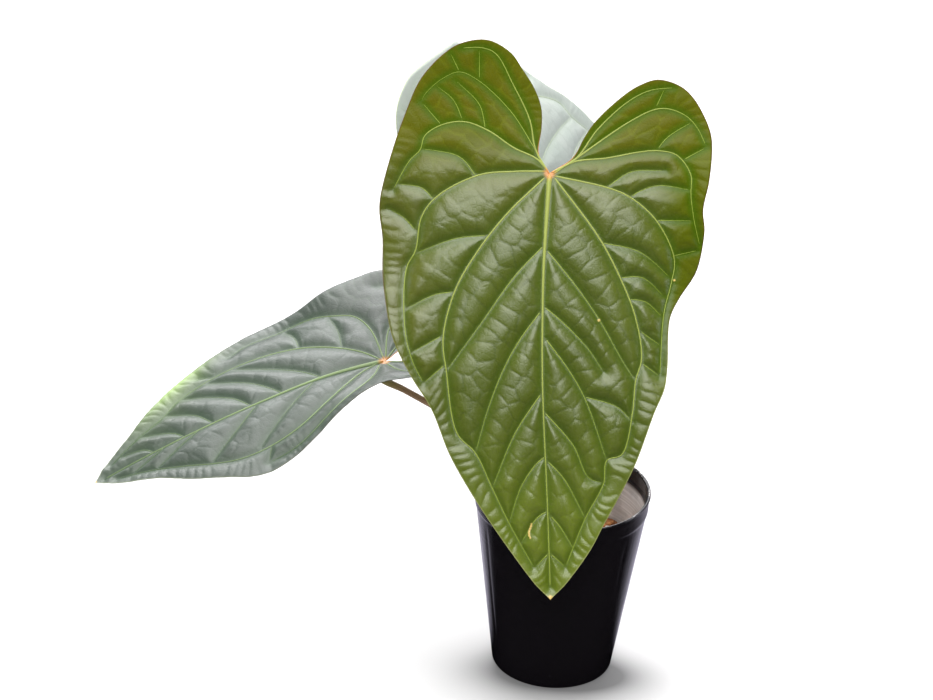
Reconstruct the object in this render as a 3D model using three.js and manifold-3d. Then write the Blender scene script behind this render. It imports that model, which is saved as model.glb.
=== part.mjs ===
// A potted anthurium hybrid: three heart-shaped quilted leaves on slim petioles, rising from a
// short stem whose roots run through coarse bark in a black nursery pot.
// Millimetres, Z up, origin at the middle of the pot's foot. The large leaf hangs toward -Y.

import * as THREE from 'three';
import { mergeVertices } from 'three/addons/utils/BufferGeometryUtils.js';
import Module from 'manifold-3d';

const wasm = await Module();
wasm.setup();

// Driving dimensions
const gap = 0.3;
const potHeight = 136;
const rimRadius = 60;
const footRadius = 41.5;
const potWall = 1.2;
const mediumLevel = 91;
const bladeThickness = 0.8;
const frontLeafLength = 280;
const leftLeafLength = 213;
const backLeafLength = 257;

// The pot's details, worked out from its main sizes
const collarHeight = potHeight / 10;
const collarStep = 0.8;
const beadHeight = 2.4;
const footRound = 3;
const floorThickness = 1.6;
const potSides = 48;
const drainHoles = 8;
const drainRadius = 4.5;
const drainCircle = footRadius * 0.7;
const wallTop = potHeight - collarHeight;
const wallTopRadius = rimRadius - collarStep - 1;

// Seeded random numbers, so that every build places the bark alike
function seeded(seed) {
  let state = seed;
  return () => {
    state = (state * 1664525 + 1013904223) % 4294967296;
    return state / 4294967296;
  };
}

// Solids in and out of manifold-3d, which joins and cuts them

function toSolid(geometry) {
  const plain = geometry.clone();
  plain.deleteAttribute('normal');
  plain.deleteAttribute('uv');
  const merged = mergeVertices(plain, 1e-4);
  const vertProperties = new Float32Array(merged.attributes.position.array);
  const corners = merged.index.array;
  const kept = [];
  for (let i = 0; i < corners.length; i += 3) {
    const [a, b, c] = corners.slice(i, i + 3);
    if (a !== b && b !== c && c !== a) kept.push(a, b, c);
  }
  const mesh = new wasm.Mesh({ numProp: 3, vertProperties, triVerts: new Uint32Array(kept) });
  return new wasm.Manifold(mesh);
}

function toGeometry(solid) {
  const { vertProperties, triVerts } = solid.getMesh();
  const geometry = new THREE.BufferGeometry();
  geometry.setAttribute('position', new THREE.BufferAttribute(vertProperties, 3));
  geometry.setIndex(new THREE.BufferAttribute(triVerts, 1));
  return geometry;
}

function union(solids) {
  return solids.reduce((whole, solid) => whole.add(solid));
}

// A lathe turned about Z from a profile of [radius, height] points
function turned(profile, sides) {
  const points = profile.map(([radius, height]) => new THREE.Vector2(radius, height));
  return new THREE.LatheGeometry(points, sides).rotateX(Math.PI / 2);
}

// A closed tube through points, with a radius for each point
function tube(points, radii, sides, steps, grow = 0) {
  const path = new THREE.CatmullRomCurve3(points.map((p) => new THREE.Vector3(...p)));
  const frames = path.computeFrenetFrames(steps, false);
  const positions = [];
  for (let i = 0; i <= steps; i += 1) {
    const at = path.getPointAt(i / steps);
    if (i === 0) at.addScaledVector(frames.tangents[0], -grow);
    if (i === steps) at.addScaledVector(frames.tangents[steps], grow);
    const station = path.getUtoTmapping(i / steps) * (radii.length - 1);
    const low = Math.min(Math.floor(station), radii.length - 2);
    const radius = THREE.MathUtils.lerp(radii[low], radii[low + 1], station - low) + grow;
    for (let j = 0; j < sides; j += 1) {
      const turn = (2 * Math.PI * j) / sides;
      const side = frames.normals[i].clone().multiplyScalar(Math.cos(turn) * radius);
      const lift = frames.binormals[i].clone().multiplyScalar(Math.sin(turn) * radius);
      positions.push(...at.clone().add(side).add(lift).toArray());
    }
  }
  const first = path.getPointAt(0).addScaledVector(frames.tangents[0], -grow);
  const last = path.getPointAt(1).addScaledVector(frames.tangents[steps], grow);
  positions.push(...first.toArray(), ...last.toArray());
  const startCap = (steps + 1) * sides;
  const index = [];
  for (let j = 0; j < sides; j += 1) {
    const k = (j + 1) % sides;
    for (let i = 0; i < steps; i += 1) {
      const a = i * sides;
      const b = a + sides;
      index.push(a + j, a + k, b + k, a + j, b + k, b + j);
    }
    index.push(startCap, k, j);
    index.push(startCap + 1, steps * sides + j, steps * sides + k);
  }
  const geometry = new THREE.BufferGeometry();
  geometry.setAttribute('position', new THREE.Float32BufferAttribute(positions, 3));
  geometry.setIndex(index);
  return geometry;
}

// Leaf plans: u runs across with the face seen and the tip down, v runs from the sinus to the tip.
// An edge goes from the sinus round its lobe to the tip. Its lobeTop names the point at the
// lobe's far end.

const frontPlan = {
  length: frontLeafLength,
  midrib: [[0, 1], [-4, 60], [-5, 100], [-5, 140], [-2, 215], [0, 272]],
  left: {
    edge: [[0, 0], [-7, -13], [-5, -29], [-5, -42], [-9, -54], [-17, -67], [-25, -78], [-40, -86],
      [-58, -84], [-70, -77], [-85, -61], [-95, -39], [-106, -7], [-112, 20], [-110, 42],
      [-110, 64], [-108, 84], [-103, 109], [-91, 134], [-78, 155], [-66, 185], [-52, 210],
      [-39, 230], [-25, 250], [-10, 270], [0, 280]],
    lobeTop: 8,
  },
  right: {
    edge: [[0, 0], [15, -10], [23, -24], [30, -34], [46, -49], [58, -57], [71, -61], [86, -57],
      [95, -49], [104, -33], [107, -21], [105, 5], [101, 24], [102, 39], [97, 64], [85, 83],
      [79, 96], [77, 129], [75, 142], [68, 158], [55, 193], [34, 233], [26, 248], [10, 270],
      [0, 280]],
    lobeTop: 6,
  },
  veins: [
    [[0, 1], [-9, -15], [-13, -35], [-24, -58], [-35, -77], [-44, -81], [-58, -81]],
    [[-9, -15], [-25, -40], [-46, -60], [-59, -66], [-70, -62], [-80, -54], [-85, -47]],
    [[-1, -1], [-8, -9], [-24, -17], [-40, -28], [-56, -34], [-71, -32], [-82, -25], [-85, -16],
      [-92, -9], [-103, 10]],
    [[-2, -1], [-24, -1], [-46, 1], [-74, 15], [-84, 28], [-88, 50], [-94, 62], [-95, 103],
      [-90, 124], [-83, 138]],
    [[-3, 3], [-28, 27], [-47, 51], [-62, 77], [-70, 108], [-68, 130], [-61, 171], [-49, 184],
      [-38, 207], [-27, 230], [-11, 259]],
    [[-4, 48], [-23, 68], [-46, 100], [-68, 130]],
    [[-6, 91], [-20, 110], [-30, 128], [-40, 153], [-49, 184]],
    [[-6, 145], [-23, 171], [-38, 207]],
    [[-3, 186], [-9, 191], [-19, 206], [-27, 230]],
    [[-2, 222], [-9, 227], [-19, 243]],
    [[-1, 250], [-10, 259]],
    [[-46, -61], [-46, -81]],
    [[-59, -66], [-65, -78]],
    [[-57, -35], [-63, -48], [-75, -58]],
    [[-71, -32], [-84, -47]],
    [[-42, -29], [-46, -45], [-62, -61]],
    [[-48, 2], [-59, -11], [-85, -17]],
    [[-76, 17], [-84, 9], [-100, 6]],
    [[-88, 37], [-96, 28], [-106, 22]],
    [[-41, 41], [-62, 43], [-88, 52]],
    [[-63, 78], [-76, 80], [-94, 89]],
    [[-71, 107], [-91, 118]],
    [[-69, 126], [-83, 138]],
    [[1, 0], [17, -9], [32, -29], [52, -47], [66, -54], [82, -56]],
    [[11, -5], [53, -34], [70, -42], [80, -42], [91, -37], [98, -29], [103, -18]],
    [[2, 1], [15, -7], [38, -10], [59, -14], [71, -15], [84, -12], [93, 1], [93, 14], [95, 30],
      [99, 47]],
    [[3, 2], [39, 10], [53, 16], [70, 31], [82, 56], [80, 72], [75, 92], [72, 133]],
    [[3, 3], [33, 44], [46, 69], [56, 95], [60, 122], [56, 137], [54, 157], [47, 185], [37, 189],
      [35, 204], [23, 227], [10, 259]],
    [[-2, 51], [18, 76], [33, 98], [47, 123], [56, 137]],
    [[-4, 88], [10, 100], [25, 116], [35, 131]],
    [[-3, 109], [13, 131], [23, 149], [37, 189]],
    [[-4, 157], [15, 179], [25, 200], [35, 204]],
    [[-2, 189], [9, 201], [23, 227]],
    [[0, 225], [6, 232], [16, 248]],
    [[0, 250], [10, 259]],
    [[70, -43], [76, -56]],
    [[71, -16], [78, -24], [94, -34]],
    [[88, -9], [103, -17]],
    [[53, 16], [59, 12], [72, 8], [93, 11]],
    [[70, 31], [95, 31]],
    [[81, 54], [98, 50]],
    [[38, 9], [54, -1], [76, -2]],
    [[34, 46], [59, 52], [80, 69]],
    [[46, 69], [61, 69], [75, 81]],
    [[52, 83], [63, 85], [74, 95]],
    [[59, 104], [73, 114]],
    [[60, 125], [72, 134]],
    [[22, 147], [44, 154], [54, 164]],
  ],
};

const leftPlan = {
  length: leftLeafLength,
  midrib: [[0, 1], [-2, 40], [0, 90], [1, 150], [0, 206]],
  left: {
    edge: [[0, 0], [-5, -12], [-6, -26], [-11, -43], [-24, -57], [-42, -63], [-60, -57],
      [-73, -43], [-83, -18], [-81, 8], [-80, 36], [-82, 62], [-76, 86], [-66, 113], [-57, 133],
      [-42, 159], [-25, 181], [-10, 203], [0, 213]],
    lobeTop: 5,
  },
  right: {
    edge: [[0, 0], [6, -14], [8, -30], [16, -46], [30, -55], [44, -48], [49, -32], [47, -14],
      [45, 8], [46, 28], [50, 50], [57, 72], [61, 92], [60, 111], [51, 132], [41, 151], [27, 171],
      [12, 198], [0, 213]],
    lobeTop: 4,
  },
  veins: [
    [[-1, -1], [-14, -16], [-22, -34], [-36, -50], [-50, -51]],
    [[-2, -1], [-28, -11], [-44, -28], [-58, -38], [-66, -30], [-70, -14]],
    [[-2, 0], [-33, 1], [-50, 8], [-58, 21], [-66, 37], [-70, 56], [-68, 84], [-62, 98]],
    [[-2, 2], [-14, 12], [-26, 27], [-40, 52], [-46, 75], [-46, 108], [-37, 142], [-28, 155],
      [-20, 176], [-9, 199]],
    [[-24, 24], [-41, 22], [-58, 24]],
    [[-40, 51], [-52, 51], [-68, 56]],
    [[-2, 44], [-14, 55], [-30, 76], [-46, 100]],
    [[0, 72], [-22, 90], [-43, 120]],
    [[-1, 96], [-14, 105], [-26, 120], [-38, 140]],
    [[0, 124], [-14, 133], [-29, 154]],
    [[1, 145], [-8, 152], [-20, 174]],
    [[1, 168], [-6, 174], [-12, 193]],
    [[-52, 124], [-45, 112]],
    [[0, 3], [5, 16], [24, 44], [36, 68], [41, 92], [41, 116], [36, 132], [26, 152], [15, 175],
      [6, 198]],
    [[2, 4], [16, 12], [28, 24], [40, 48], [50, 74], [52, 98]],
    [[2, 0], [20, -6], [34, -14], [38, -2]],
    [[1, -1], [14, -22], [26, -38], [38, -38]],
    [[-1, 50], [15, 71], [39, 99]],
    [[1, 92], [13, 106], [35, 134]],
    [[1, 134], [7, 149], [17, 170]],
    [[1, 160], [5, 172], [10, 187]],
    [[41, 92], [52, 98]],
  ],
};

// Turns a plan over about its midrib and scales it
function mirroredPlan(plan, length) {
  const scale = length / plan.length;
  const turn = (points) => points.map(([u, v]) => [-u * scale, v * scale]);
  const half = (side) => ({ ...side, edge: turn(side.edge) });
  return {
    length,
    midrib: turn(plan.midrib),
    left: half(plan.right),
    right: half(plan.left),
    veins: plan.veins.map(turn),
  };
}

const backPlan = mirroredPlan(frontPlan, backLeafLength);

// How each blade is held: its sinus, the way to the tip, the way the face looks, and how it bends.
// droop is the midrib's bend per millimetre, recurve drops both sides, curl brings the lobes
// forward, and a fold lifts a side near the sinus. A swell is [u, v, radius in u, radius in v,
// height].

const leaves = {
  front: {
    plan: frontPlan,
    seat: [-21.6, 30, 354.2],
    toTip: [0.054, -0.538, -0.841],
    face: [0, -0.842, 0.539],
    droop: 0.0007,
    recurve: 0.001,
    curl: 0.0022,
    foldLeft: -0.04,
    foldRight: -0.04,
    foldLength: 60,
    swells: [[100, 82, 22, 30, -11], [108, 10, 20, 26, 5], [-112, 40, 22, 34, -5],
      [-104, 120, 24, 30, 5], [70, 165, 24, 26, 4]],
    columns: 45,
    rows: 11,
  },
  left: {
    plan: leftPlan,
    seat: [-124.8, 36, 205.7],
    toTip: [-0.94, -0.276, -0.201],
    face: [-0.134, -0.242, 0.961],
    droop: 0.0018,
    recurve: 0.0016,
    curl: 0,
    foldLeft: 0.11,
    foldRight: 0.32,
    foldLength: 60,
    swells: [[52, 18, 24, 34, 12], [-78, 58, 18, 22, -3], [-82, 18, 18, 20, 4],
      [58, 96, 16, 22, -3]],
    columns: 38,
    rows: 9,
  },
  back: {
    plan: backPlan,
    seat: [-69.6, 95, 310.8],
    toTip: [0.556, 0.792, -0.254],
    face: [0.799, -0.422, 0.43],
    droop: 0.0011,
    recurve: 0.0024,
    curl: 0,
    foldLeft: 0,
    foldRight: 0,
    foldLength: 60,
    swells: [[-98, 30, 22, 30, -6], [98, 10, 22, 24, 5], [-90, 110, 24, 26, 5]],
    columns: 38,
    rows: 9,
  },
};

// The quilting: panels rise between the veins, which stay low
const panelRise = 4.2;
const panelReach = 9;
const marginLevel = 10;
const veinRib = 0.9;
const veinRibReach = 2.5;

// A smooth plan curve through points, as evenly spaced points
function planCurve(points, spacing) {
  const path = new THREE.CatmullRomCurve3(
    points.map(([u, v]) => new THREE.Vector3(u, v, 0)), false, 'centripetal');
  const count = Math.max(2, Math.ceil(path.getLength() / spacing));
  return path.getSpacedPoints(count).map((p) => [p.x, p.y]);
}

// Evenly spaced points along a stretch of a finely sampled line
function evenPoints(line, steps) {
  const path = new THREE.CurvePath();
  for (let i = 1; i < line.length; i += 1) {
    path.add(new THREE.LineCurve(new THREE.Vector2(...line[i - 1]), new THREE.Vector2(...line[i])));
  }
  return path.getSpacedPoints(steps).map((p) => [p.x, p.y]);
}

function distanceToLine([u, v], line) {
  let nearest = Infinity;
  for (let i = 1; i < line.length; i += 1) {
    const [au, av] = line[i - 1];
    const du = line[i][0] - au;
    const dv = line[i][1] - av;
    const along = ((u - au) * du + (v - av) * dv) / (du * du + dv * dv);
    const t = THREE.MathUtils.clamp(along, 0, 1);
    nearest = Math.min(nearest, Math.hypot(u - au - t * du, v - av - t * dv));
  }
  return nearest;
}

// Blends the distances to all lines, so that panels round off midway between veins. The edges count
// as if they lay further out, which keeps the margin nearly level.
function blendedDistance(point, veins, edges) {
  let sum = 0;
  for (const vein of veins) sum += Math.max(distanceToLine(point, vein), 0.2) ** -4;
  for (const edge of edges) sum += (distanceToLine(point, edge) + marginLevel) ** -4;
  return sum ** -0.25;
}

// The bent blade's surface without its quilting, raised by lift along the face
function bladePoint(leaf, u, v, lift = 0) {
  const toTip = new THREE.Vector3(...leaf.toTip).normalize();
  const face = new THREE.Vector3(...leaf.face);
  face.addScaledVector(toTip, -face.dot(toTip)).normalize();
  const across = face.clone().cross(toTip);
  const fold = (u < 0 ? leaf.foldLeft : leaf.foldRight)
    * Math.exp(-((Math.max(v + 20, 0) / leaf.foldLength) ** 2));
  let height = fold * (Math.hypot(u, 5) - 5);
  height -= leaf.recurve * u * u * THREE.MathUtils.clamp((v + 20) / 80, 0, 1);
  height += leaf.curl * Math.min(v, 0) ** 2;
  for (const [atU, atV, overU, overV, rise] of leaf.swells) {
    height += rise * Math.exp(-(((u - atU) / overU) ** 2) - ((v - atV) / overV) ** 2);
  }
  const bend = leaf.droop * Math.max(v, 0);
  const forward = v > 0 ? Math.sin(bend) / leaf.droop : v;
  const down = v > 0 ? (1 - Math.cos(bend)) / leaf.droop : 0;
  const normal = face.clone().multiplyScalar(Math.cos(bend)).addScaledVector(toTip, Math.sin(bend));
  return new THREE.Vector3(...leaf.seat)
    .addScaledVector(toTip, forward)
    .addScaledVector(face, -down)
    .addScaledVector(across, u)
    .addScaledVector(normal, height + lift);
}

function bladeNormal(leaf, u, v) {
  const step = 0.5;
  const alongU = bladePoint(leaf, u + step, v).sub(bladePoint(leaf, u - step, v));
  const alongV = bladePoint(leaf, u, v + step).sub(bladePoint(leaf, u, v - step));
  return alongV.cross(alongU).normalize();
}

// A stretch of an edge's smooth curve between two of its numbered points
function edgeStretch(edge, from, to) {
  const whole = new THREE.CatmullRomCurve3(
    edge.map(([u, v]) => new THREE.Vector3(u, v, 0)), false, 'centripetal');
  const samples = (to - from) * 12;
  const line = [];
  for (let i = 0; i <= samples; i += 1) {
    const p = whole.getPoint((from + ((to - from) * i) / samples) / (edge.length - 1));
    line.push([p.x, p.y]);
  }
  return line;
}

// One half of a blade as a four-sided grid of plan points. Its columns run from the midrib to the
// outer edge: the first follows the sinus to the lobe's far end, the last is short, at the tip.
function halfGrid(leaf, half) {
  const { columns, rows } = leaf;
  const sinus = evenPoints(edgeStretch(half.edge, 0, half.lobeTop), rows);
  const outer = evenPoints(edgeStretch(half.edge, half.lobeTop, half.edge.length - 1), columns);
  const midrib = evenPoints([[0, 0], ...planCurve(leaf.plan.midrib, 4)], columns);
  const between = (a, b, t, axis) => THREE.MathUtils.lerp(a[axis], b[axis], t);
  return midrib.map((inner, i) => sinus.map((bent, j) => {
    const t = j / rows;
    const follow = 1 - i / columns;
    return [0, 1].map((axis) => (
      between(inner, outer[i], t, axis)
      + follow * (bent[axis] - between(sinus[0], sinus[rows], t, axis))));
  }));
}

// Moves a grid's inner points onto a vein that passes close by
function snapToVeins(grid, marks) {
  const rows = grid[0].length - 1;
  const snapped = grid.map((column) => column.map((p) => [...p]));
  for (let i = 1; i < grid.length - 1; i += 1) {
    for (let j = 1; j < rows; j += 1) {
      const [u, v] = grid[i][j];
      const around = [grid[i - 1][j], grid[i + 1][j], grid[i][j - 1], grid[i][j + 1]];
      const reach = 0.36 * Math.min(...around.map(([a, b]) => Math.hypot(a - u, b - v)));
      let best = reach;
      for (const mark of marks) {
        const away = Math.hypot(mark[0] - u, mark[1] - v);
        if (away < best) {
          best = away;
          snapped[i][j] = [...mark];
        }
      }
    }
  }
  return snapped;
}

// A closed blade: both faces are split alike and joined round the edge
function bladeGeometry(leaf, thickness) {
  const { plan } = leaf;
  const veins = [plan.midrib, ...plan.veins].map((vein) => planCurve(vein, 3));
  const marks = veins.slice(1).flat();
  const halves = [plan.left, plan.right].map((half) => snapToVeins(halfGrid(leaf, half), marks));
  const edges = [plan.left, plan.right].map((half) => planCurve(half.edge, 6));
  const positions = [];
  const index = [];
  halves.forEach((grid, side) => {
    const columns = grid.length;
    const rows = grid[0].length;
    const base = positions.length / 3;
    const layer = columns * rows;
    const upper = [];
    const lower = [];
    for (const point of grid.flat()) {
      const [u, v] = point;
      const rise = panelRise * (1 - Math.exp(-blendedDistance(point, veins, edges) / panelReach));
      const toVein = Math.min(...veins.map((vein) => distanceToLine(point, vein)));
      const toEdge = Math.min(...edges.map((edge) => distanceToLine(point, edge)));
      const rib = veinRib * Math.exp(-((toVein / veinRibReach) ** 2)) * Math.min(1, toEdge / 12);
      const middle = bladePoint(leaf, u, v, rise);
      const normal = bladeNormal(leaf, u, v);
      upper.push(...middle.clone().addScaledVector(normal, thickness / 2).toArray());
      lower.push(...middle.addScaledVector(normal, -thickness / 2 - rib).toArray());
    }
    positions.push(...upper, ...lower);
    const face = (a, b, c) => (side === 0 ? index.push(a, b, c) : index.push(a, c, b));
    const quad = (a, b, c, d) => {
      face(a, b, c);
      face(a, c, d);
    };
    const wall = (from, to) => quad(from, from + layer, to + layer, to);
    for (let j = 0; j < rows - 1; j += 1) wall(base + j, base + j + 1);
    for (let i = 0; i < columns - 1; i += 1) {
      for (let j = 0; j < rows - 1; j += 1) {
        const a = base + i * rows + j;
        quad(a, a + 1, a + rows + 1, a + rows);
        quad(a + layer, a + layer + rows, a + layer + rows + 1, a + layer + 1);
      }
      const rim = base + i * rows + rows - 1;
      wall(rim, rim + rows);
    }
  });
  const geometry = new THREE.BufferGeometry();
  geometry.setAttribute('position', new THREE.Float32BufferAttribute(positions, 3));
  geometry.setIndex(index);
  return geometry;
}

// Petioles: from a socket in the stem to a seat under the blade, just below the sinus. The last
// stretch is a thicker joint that meets the blade squarely.
const petioleSeat = 4.5;
const seatDepth = 0.6;
const jointLength = 13;
const petioleSides = 8;
const petioleSteps = 16;
const petioles = {
  front: {
    path: [[2, -4, 96], [4, 1, 125], [4, 14, 190], [-3, 33, 264], [-14, 46, 322]],
    radii: [3.6, 3, 2.5, 2.3, 2.3, 2.9, 2.9],
  },
  left: {
    path: [[-5, 1, 95], [-13, 4, 119], [-36, 11, 148], [-74, 22, 171], [-110, 33, 186]],
    radii: [3.4, 2.9, 2.4, 2.2, 2.2, 2.7, 2.7],
  },
  back: {
    path: [[4, 5, 95], [0, 18, 130], [-26, 55, 180], [-63, 83, 228], [-84, 95, 276]],
    radii: [3.5, 2.9, 2.4, 2.2, 2.2, 2.8, 2.8],
  },
};

function petioleTube(name, grow = 0) {
  const { path, radii } = petioles[name];
  const joint = [-jointLength, -seatDepth].map((lift) => (
    bladePoint(leaves[name], 0, petioleSeat, lift).toArray()));
  return tube([...path, ...joint], radii, petioleSides, petioleSteps, grow);
}

// The stem and roots: one grown body, with a plain socket for each petiole
const stemSides = 12;
const rootSides = 5;
const rootSteps = 5;
const stemPath = [[1, 1, 58], [0, 0, 72], [0, 0, 88], [0, 1, 101], [0, 1, 107]];
const stemRadii = [6, 8.5, 10, 10.5, 7];
const rootCount = 6;

function rootPath(k) {
  const turn = (2 * Math.PI * k) / rootCount + 0.3 * (k % 2);
  const reach = 31 + 5 * ((k * 3) % 4) / 3;
  const depth = 16 + 9 * (k % 3);
  const at = (radius, swing, height) => [
    radius * Math.cos(turn + swing), radius * Math.sin(turn + swing), height];
  return [at(3, 0, 70), at(15, 0.15, 66 - k), at(27, 0.35, 52 - k), at(reach, 0.8, 34), at(reach - 6, 1.3, depth)];
}

function stemAndRoots(grow) {
  const stem = toSolid(tube(stemPath, stemRadii, stemSides, 6, grow));
  const roots = [];
  for (let k = 0; k < rootCount; k += 1) {
    roots.push(toSolid(tube(rootPath(k), [2.8, 2.6, 2.2, 1.8, 1.4], rootSides, rootSteps, grow)));
  }
  return union([stem, ...roots]);
}

// The growing medium: a plug of bark that fills the pot, with coarse chips over its top
const chipCount = 30;
const mediumRings = 4;

function innerRadius(height) {
  const t = (height - footRound) / (wallTop - footRound);
  return THREE.MathUtils.lerp(footRadius, wallTopRadius, t) - potWall;
}

function mediumPlug() {
  const random = seeded(11);
  const bottom = floorThickness + gap;
  const topRadius = innerRadius(mediumLevel) - gap;
  const profile = [[0, bottom], [footRadius - 6, bottom], [innerRadius(8) - gap, 8]];
  for (let ring = 0; ring < mediumRings; ring += 1) {
    profile.push([topRadius * (1 - ring / mediumRings), mediumLevel]);
  }
  profile.push([0, mediumLevel]);
  const geometry = turned(profile, potSides);
  const merged = mergeVertices(geometry.deleteAttribute('normal').deleteAttribute('uv'), 1e-4);
  const at = merged.attributes.position;
  for (let i = 0; i < at.count; i += 1) {
    const radius = Math.hypot(at.getX(i), at.getY(i));
    const inside = at.getZ(i) > mediumLevel - 1 && radius < topRadius - 1;
    if (inside) at.setZ(i, mediumLevel + 3 * (random() - 0.5));
  }
  return toSolid(merged);
}

function barkChips() {
  const random = seeded(5);
  const chips = [];
  const golden = Math.PI * (3 - Math.sqrt(5));
  for (let k = 0; k < chipCount; k += 1) {
    const radius = 14 + 29 * Math.sqrt((k + 0.5) / chipCount);
    const size = 7 + 6 * random();
    const chip = new THREE.BoxGeometry(size * 1.5, size, size * 0.55);
    chip.rotateX(0.7 * (random() - 0.5)).rotateY(0.7 * (random() - 0.5)).rotateZ(6.3 * random());
    chip.translate(
      radius * Math.cos(k * golden), radius * Math.sin(k * golden), mediumLevel + 1.2 * random());
    chips.push(toSolid(chip));
  }
  return union(chips);
}

// The pot: a thin shell with a stepped collar, a beaded lip, and drain holes round a closed centre
function potSolid() {
  const profile = [
    [0, 0],
    [footRadius - footRound, 0],
    [footRadius - 0.8, 0.9],
    [footRadius, footRound],
    [wallTopRadius, wallTop],
    [wallTopRadius + collarStep, wallTop + 1.6],
    [rimRadius - 1, potHeight - beadHeight - 0.4],
    [rimRadius, potHeight - beadHeight],
    [rimRadius, potHeight - 0.7],
    [rimRadius - 0.8, potHeight],
    [rimRadius - 2, potHeight],
    [rimRadius - 2.3, potHeight - 1.2],
    [wallTopRadius + collarStep - potWall, wallTop + 2.4],
    [wallTopRadius - potWall, wallTop + 0.6],
    [footRadius - potWall, footRound],
    [footRadius - footRound - 1, floorThickness],
    [0, floorThickness],
  ];
  let pot = toSolid(turned(profile, potSides));
  for (let k = 0; k < drainHoles; k += 1) {
    const turn = (2 * Math.PI * (k + 0.5)) / drainHoles;
    const hole = new THREE.CylinderGeometry(drainRadius, drainRadius, 8, 16).rotateX(Math.PI / 2);
    hole.translate(drainCircle * Math.cos(turn), drainCircle * Math.sin(turn), 0);
    pot = pot.subtract(toSolid(hole));
  }
  return pot;
}

// Materials
const potPlastic = new THREE.MeshStandardMaterial({ color: 0x101013, roughness: 0.3, metalness: 0 });
const bark = new THREE.MeshStandardMaterial({ color: 0x8a5330, roughness: 0.9, metalness: 0 });
const stemTissue = new THREE.MeshStandardMaterial({ color: 0x7a6a42, roughness: 0.7, metalness: 0 });
const petioleTissue = new THREE.MeshStandardMaterial({ color: 0x6f5a45, roughness: 0.5, metalness: 0 });
const oliveLeaf = new THREE.MeshStandardMaterial({ color: 0x5f7a2c, roughness: 0.5, metalness: 0 });
const greyGreenLeaf = new THREE.MeshStandardMaterial({ color: 0x67836f, roughness: 0.6, metalness: 0 });
const paleLeaf = new THREE.MeshStandardMaterial({ color: 0xa9c3ae, roughness: 0.6, metalness: 0 });

// The scene graph
const plant = new THREE.Group();

function addPiece(name, solid, material) {
  const mesh = new THREE.Mesh(toGeometry(solid), material);
  mesh.name = name;
  plant.add(mesh);
}

const stemBody = stemAndRoots(0);
const sockets = union(Object.keys(petioles).map((name) => toSolid(petioleTube(name, gap))));
const mediumHoles = union([stemAndRoots(gap), sockets]);

addPiece('pot', potSolid(), potPlastic);
addPiece('growing_medium', mediumPlug().add(barkChips()).subtract(mediumHoles), bark);
addPiece('stem_and_roots', stemBody.subtract(sockets), stemTissue);

const leafMaterials = { front: oliveLeaf, left: greyGreenLeaf, back: paleLeaf };
for (const [name, leaf] of Object.entries(leaves)) {
  const clearance = toSolid(bladeGeometry(leaf, bladeThickness + 2 * gap));
  const petiole = toSolid(petioleTube(name)).subtract(clearance);
  addPiece(`petiole_${name}`, petiole, petioleTissue);
  addPiece(`leaf_${name}`, toSolid(bladeGeometry(leaf, bladeThickness)), leafMaterials[name]);
}

export default plant;
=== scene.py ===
import math

import bpy
import numpy as np
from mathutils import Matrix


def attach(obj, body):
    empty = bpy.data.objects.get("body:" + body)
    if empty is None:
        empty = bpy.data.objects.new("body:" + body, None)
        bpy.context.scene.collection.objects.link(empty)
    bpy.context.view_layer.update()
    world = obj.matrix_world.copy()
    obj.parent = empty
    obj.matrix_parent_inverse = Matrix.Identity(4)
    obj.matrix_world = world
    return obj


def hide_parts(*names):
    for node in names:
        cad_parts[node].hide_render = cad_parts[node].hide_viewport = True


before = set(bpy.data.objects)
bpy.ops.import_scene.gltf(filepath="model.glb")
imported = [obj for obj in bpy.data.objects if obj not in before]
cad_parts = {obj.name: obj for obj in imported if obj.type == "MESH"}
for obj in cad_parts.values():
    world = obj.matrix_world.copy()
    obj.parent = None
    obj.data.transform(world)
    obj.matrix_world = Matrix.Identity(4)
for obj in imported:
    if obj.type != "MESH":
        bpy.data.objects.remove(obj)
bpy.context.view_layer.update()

scene = bpy.context.scene

# The stage is a plain white floor with no edge in view, with a soft painted contact shadow towards the pot's
# foot.
# Two wide panels, one in front of overhead and one behind it, stand for an even sky, with low bright
# panels behind and at each side. The room is white to look at and lights all sides evenly.
FLOOR_HALF = 5.0
FLOOR_WHITE = (0.46, 0.46, 0.46)
# The colour of the painted contact shadow; SHADE_PLACE, SHADE_FALL and SHADE_DEPTH give its place, spread and
# strength.
FLOOR_PAINTED_SHADOW = (0.06, 0.06, 0.062)
FLOOR_GLOW = 0.12
FLOOR_MIRRORED = (0.86, 0.82, 1.0)
SHADE_PLACE = (-0.23, 1.5, 0)
SHADE_FALL = (38.5, 75, 38.5)
SHADE_DEPTH = 5.33
ROOM_WHITE = (0.64, 0.64, 0.64)
ROOM_MIRRORED = (0.04, 0.04, 0.045)
LAMPS = {
    # place, what it faces, width, height, strength in watts, colour
    "sky": ((-0.25, -0.668, 1.994), (-0.25, -0.05, 0.25), 2.0, 2.54, 76, (1.0, 0.995, 0.98)),
    "sky_back": ((-0.1, 1.17, 1.75), (-0.1, 0.0, 0.25), 2.6, 1.5, 60, (1.0, 0.985, 1.0)),
    "behind": ((-0.3, 2.2, 1.5), (-0.1, 0.0, 0.25), 3.4, 1.4, 60, (0.98, 0.97, 1.0)),
    "right": ((2.6, 0.5, 0.55), (0.0, 0.0, 0.1), 1.4, 1.1, 16, (0.93, 0.92, 1.0)),
    "left": ((-2.6, 0.3, 0.55), (0.0, 0.0, 0.1), 1.0, 1.1, 8, (0.93, 0.94, 1.0)),
}


def add_node(tree, kind, inputs=None, **settings):
    """A shader node with its settings, whose inputs are each given a value or another node's output."""
    node = tree.nodes.new("ShaderNode" + kind)
    for key, value in settings.items():
        setattr(node, key, value)
    for key, value in (inputs or {}).items():
        if isinstance(value, bpy.types.NodeSocket):
            tree.links.new(value, node.inputs[key])
        else:
            node.inputs[key].default_value = value
    return node


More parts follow.
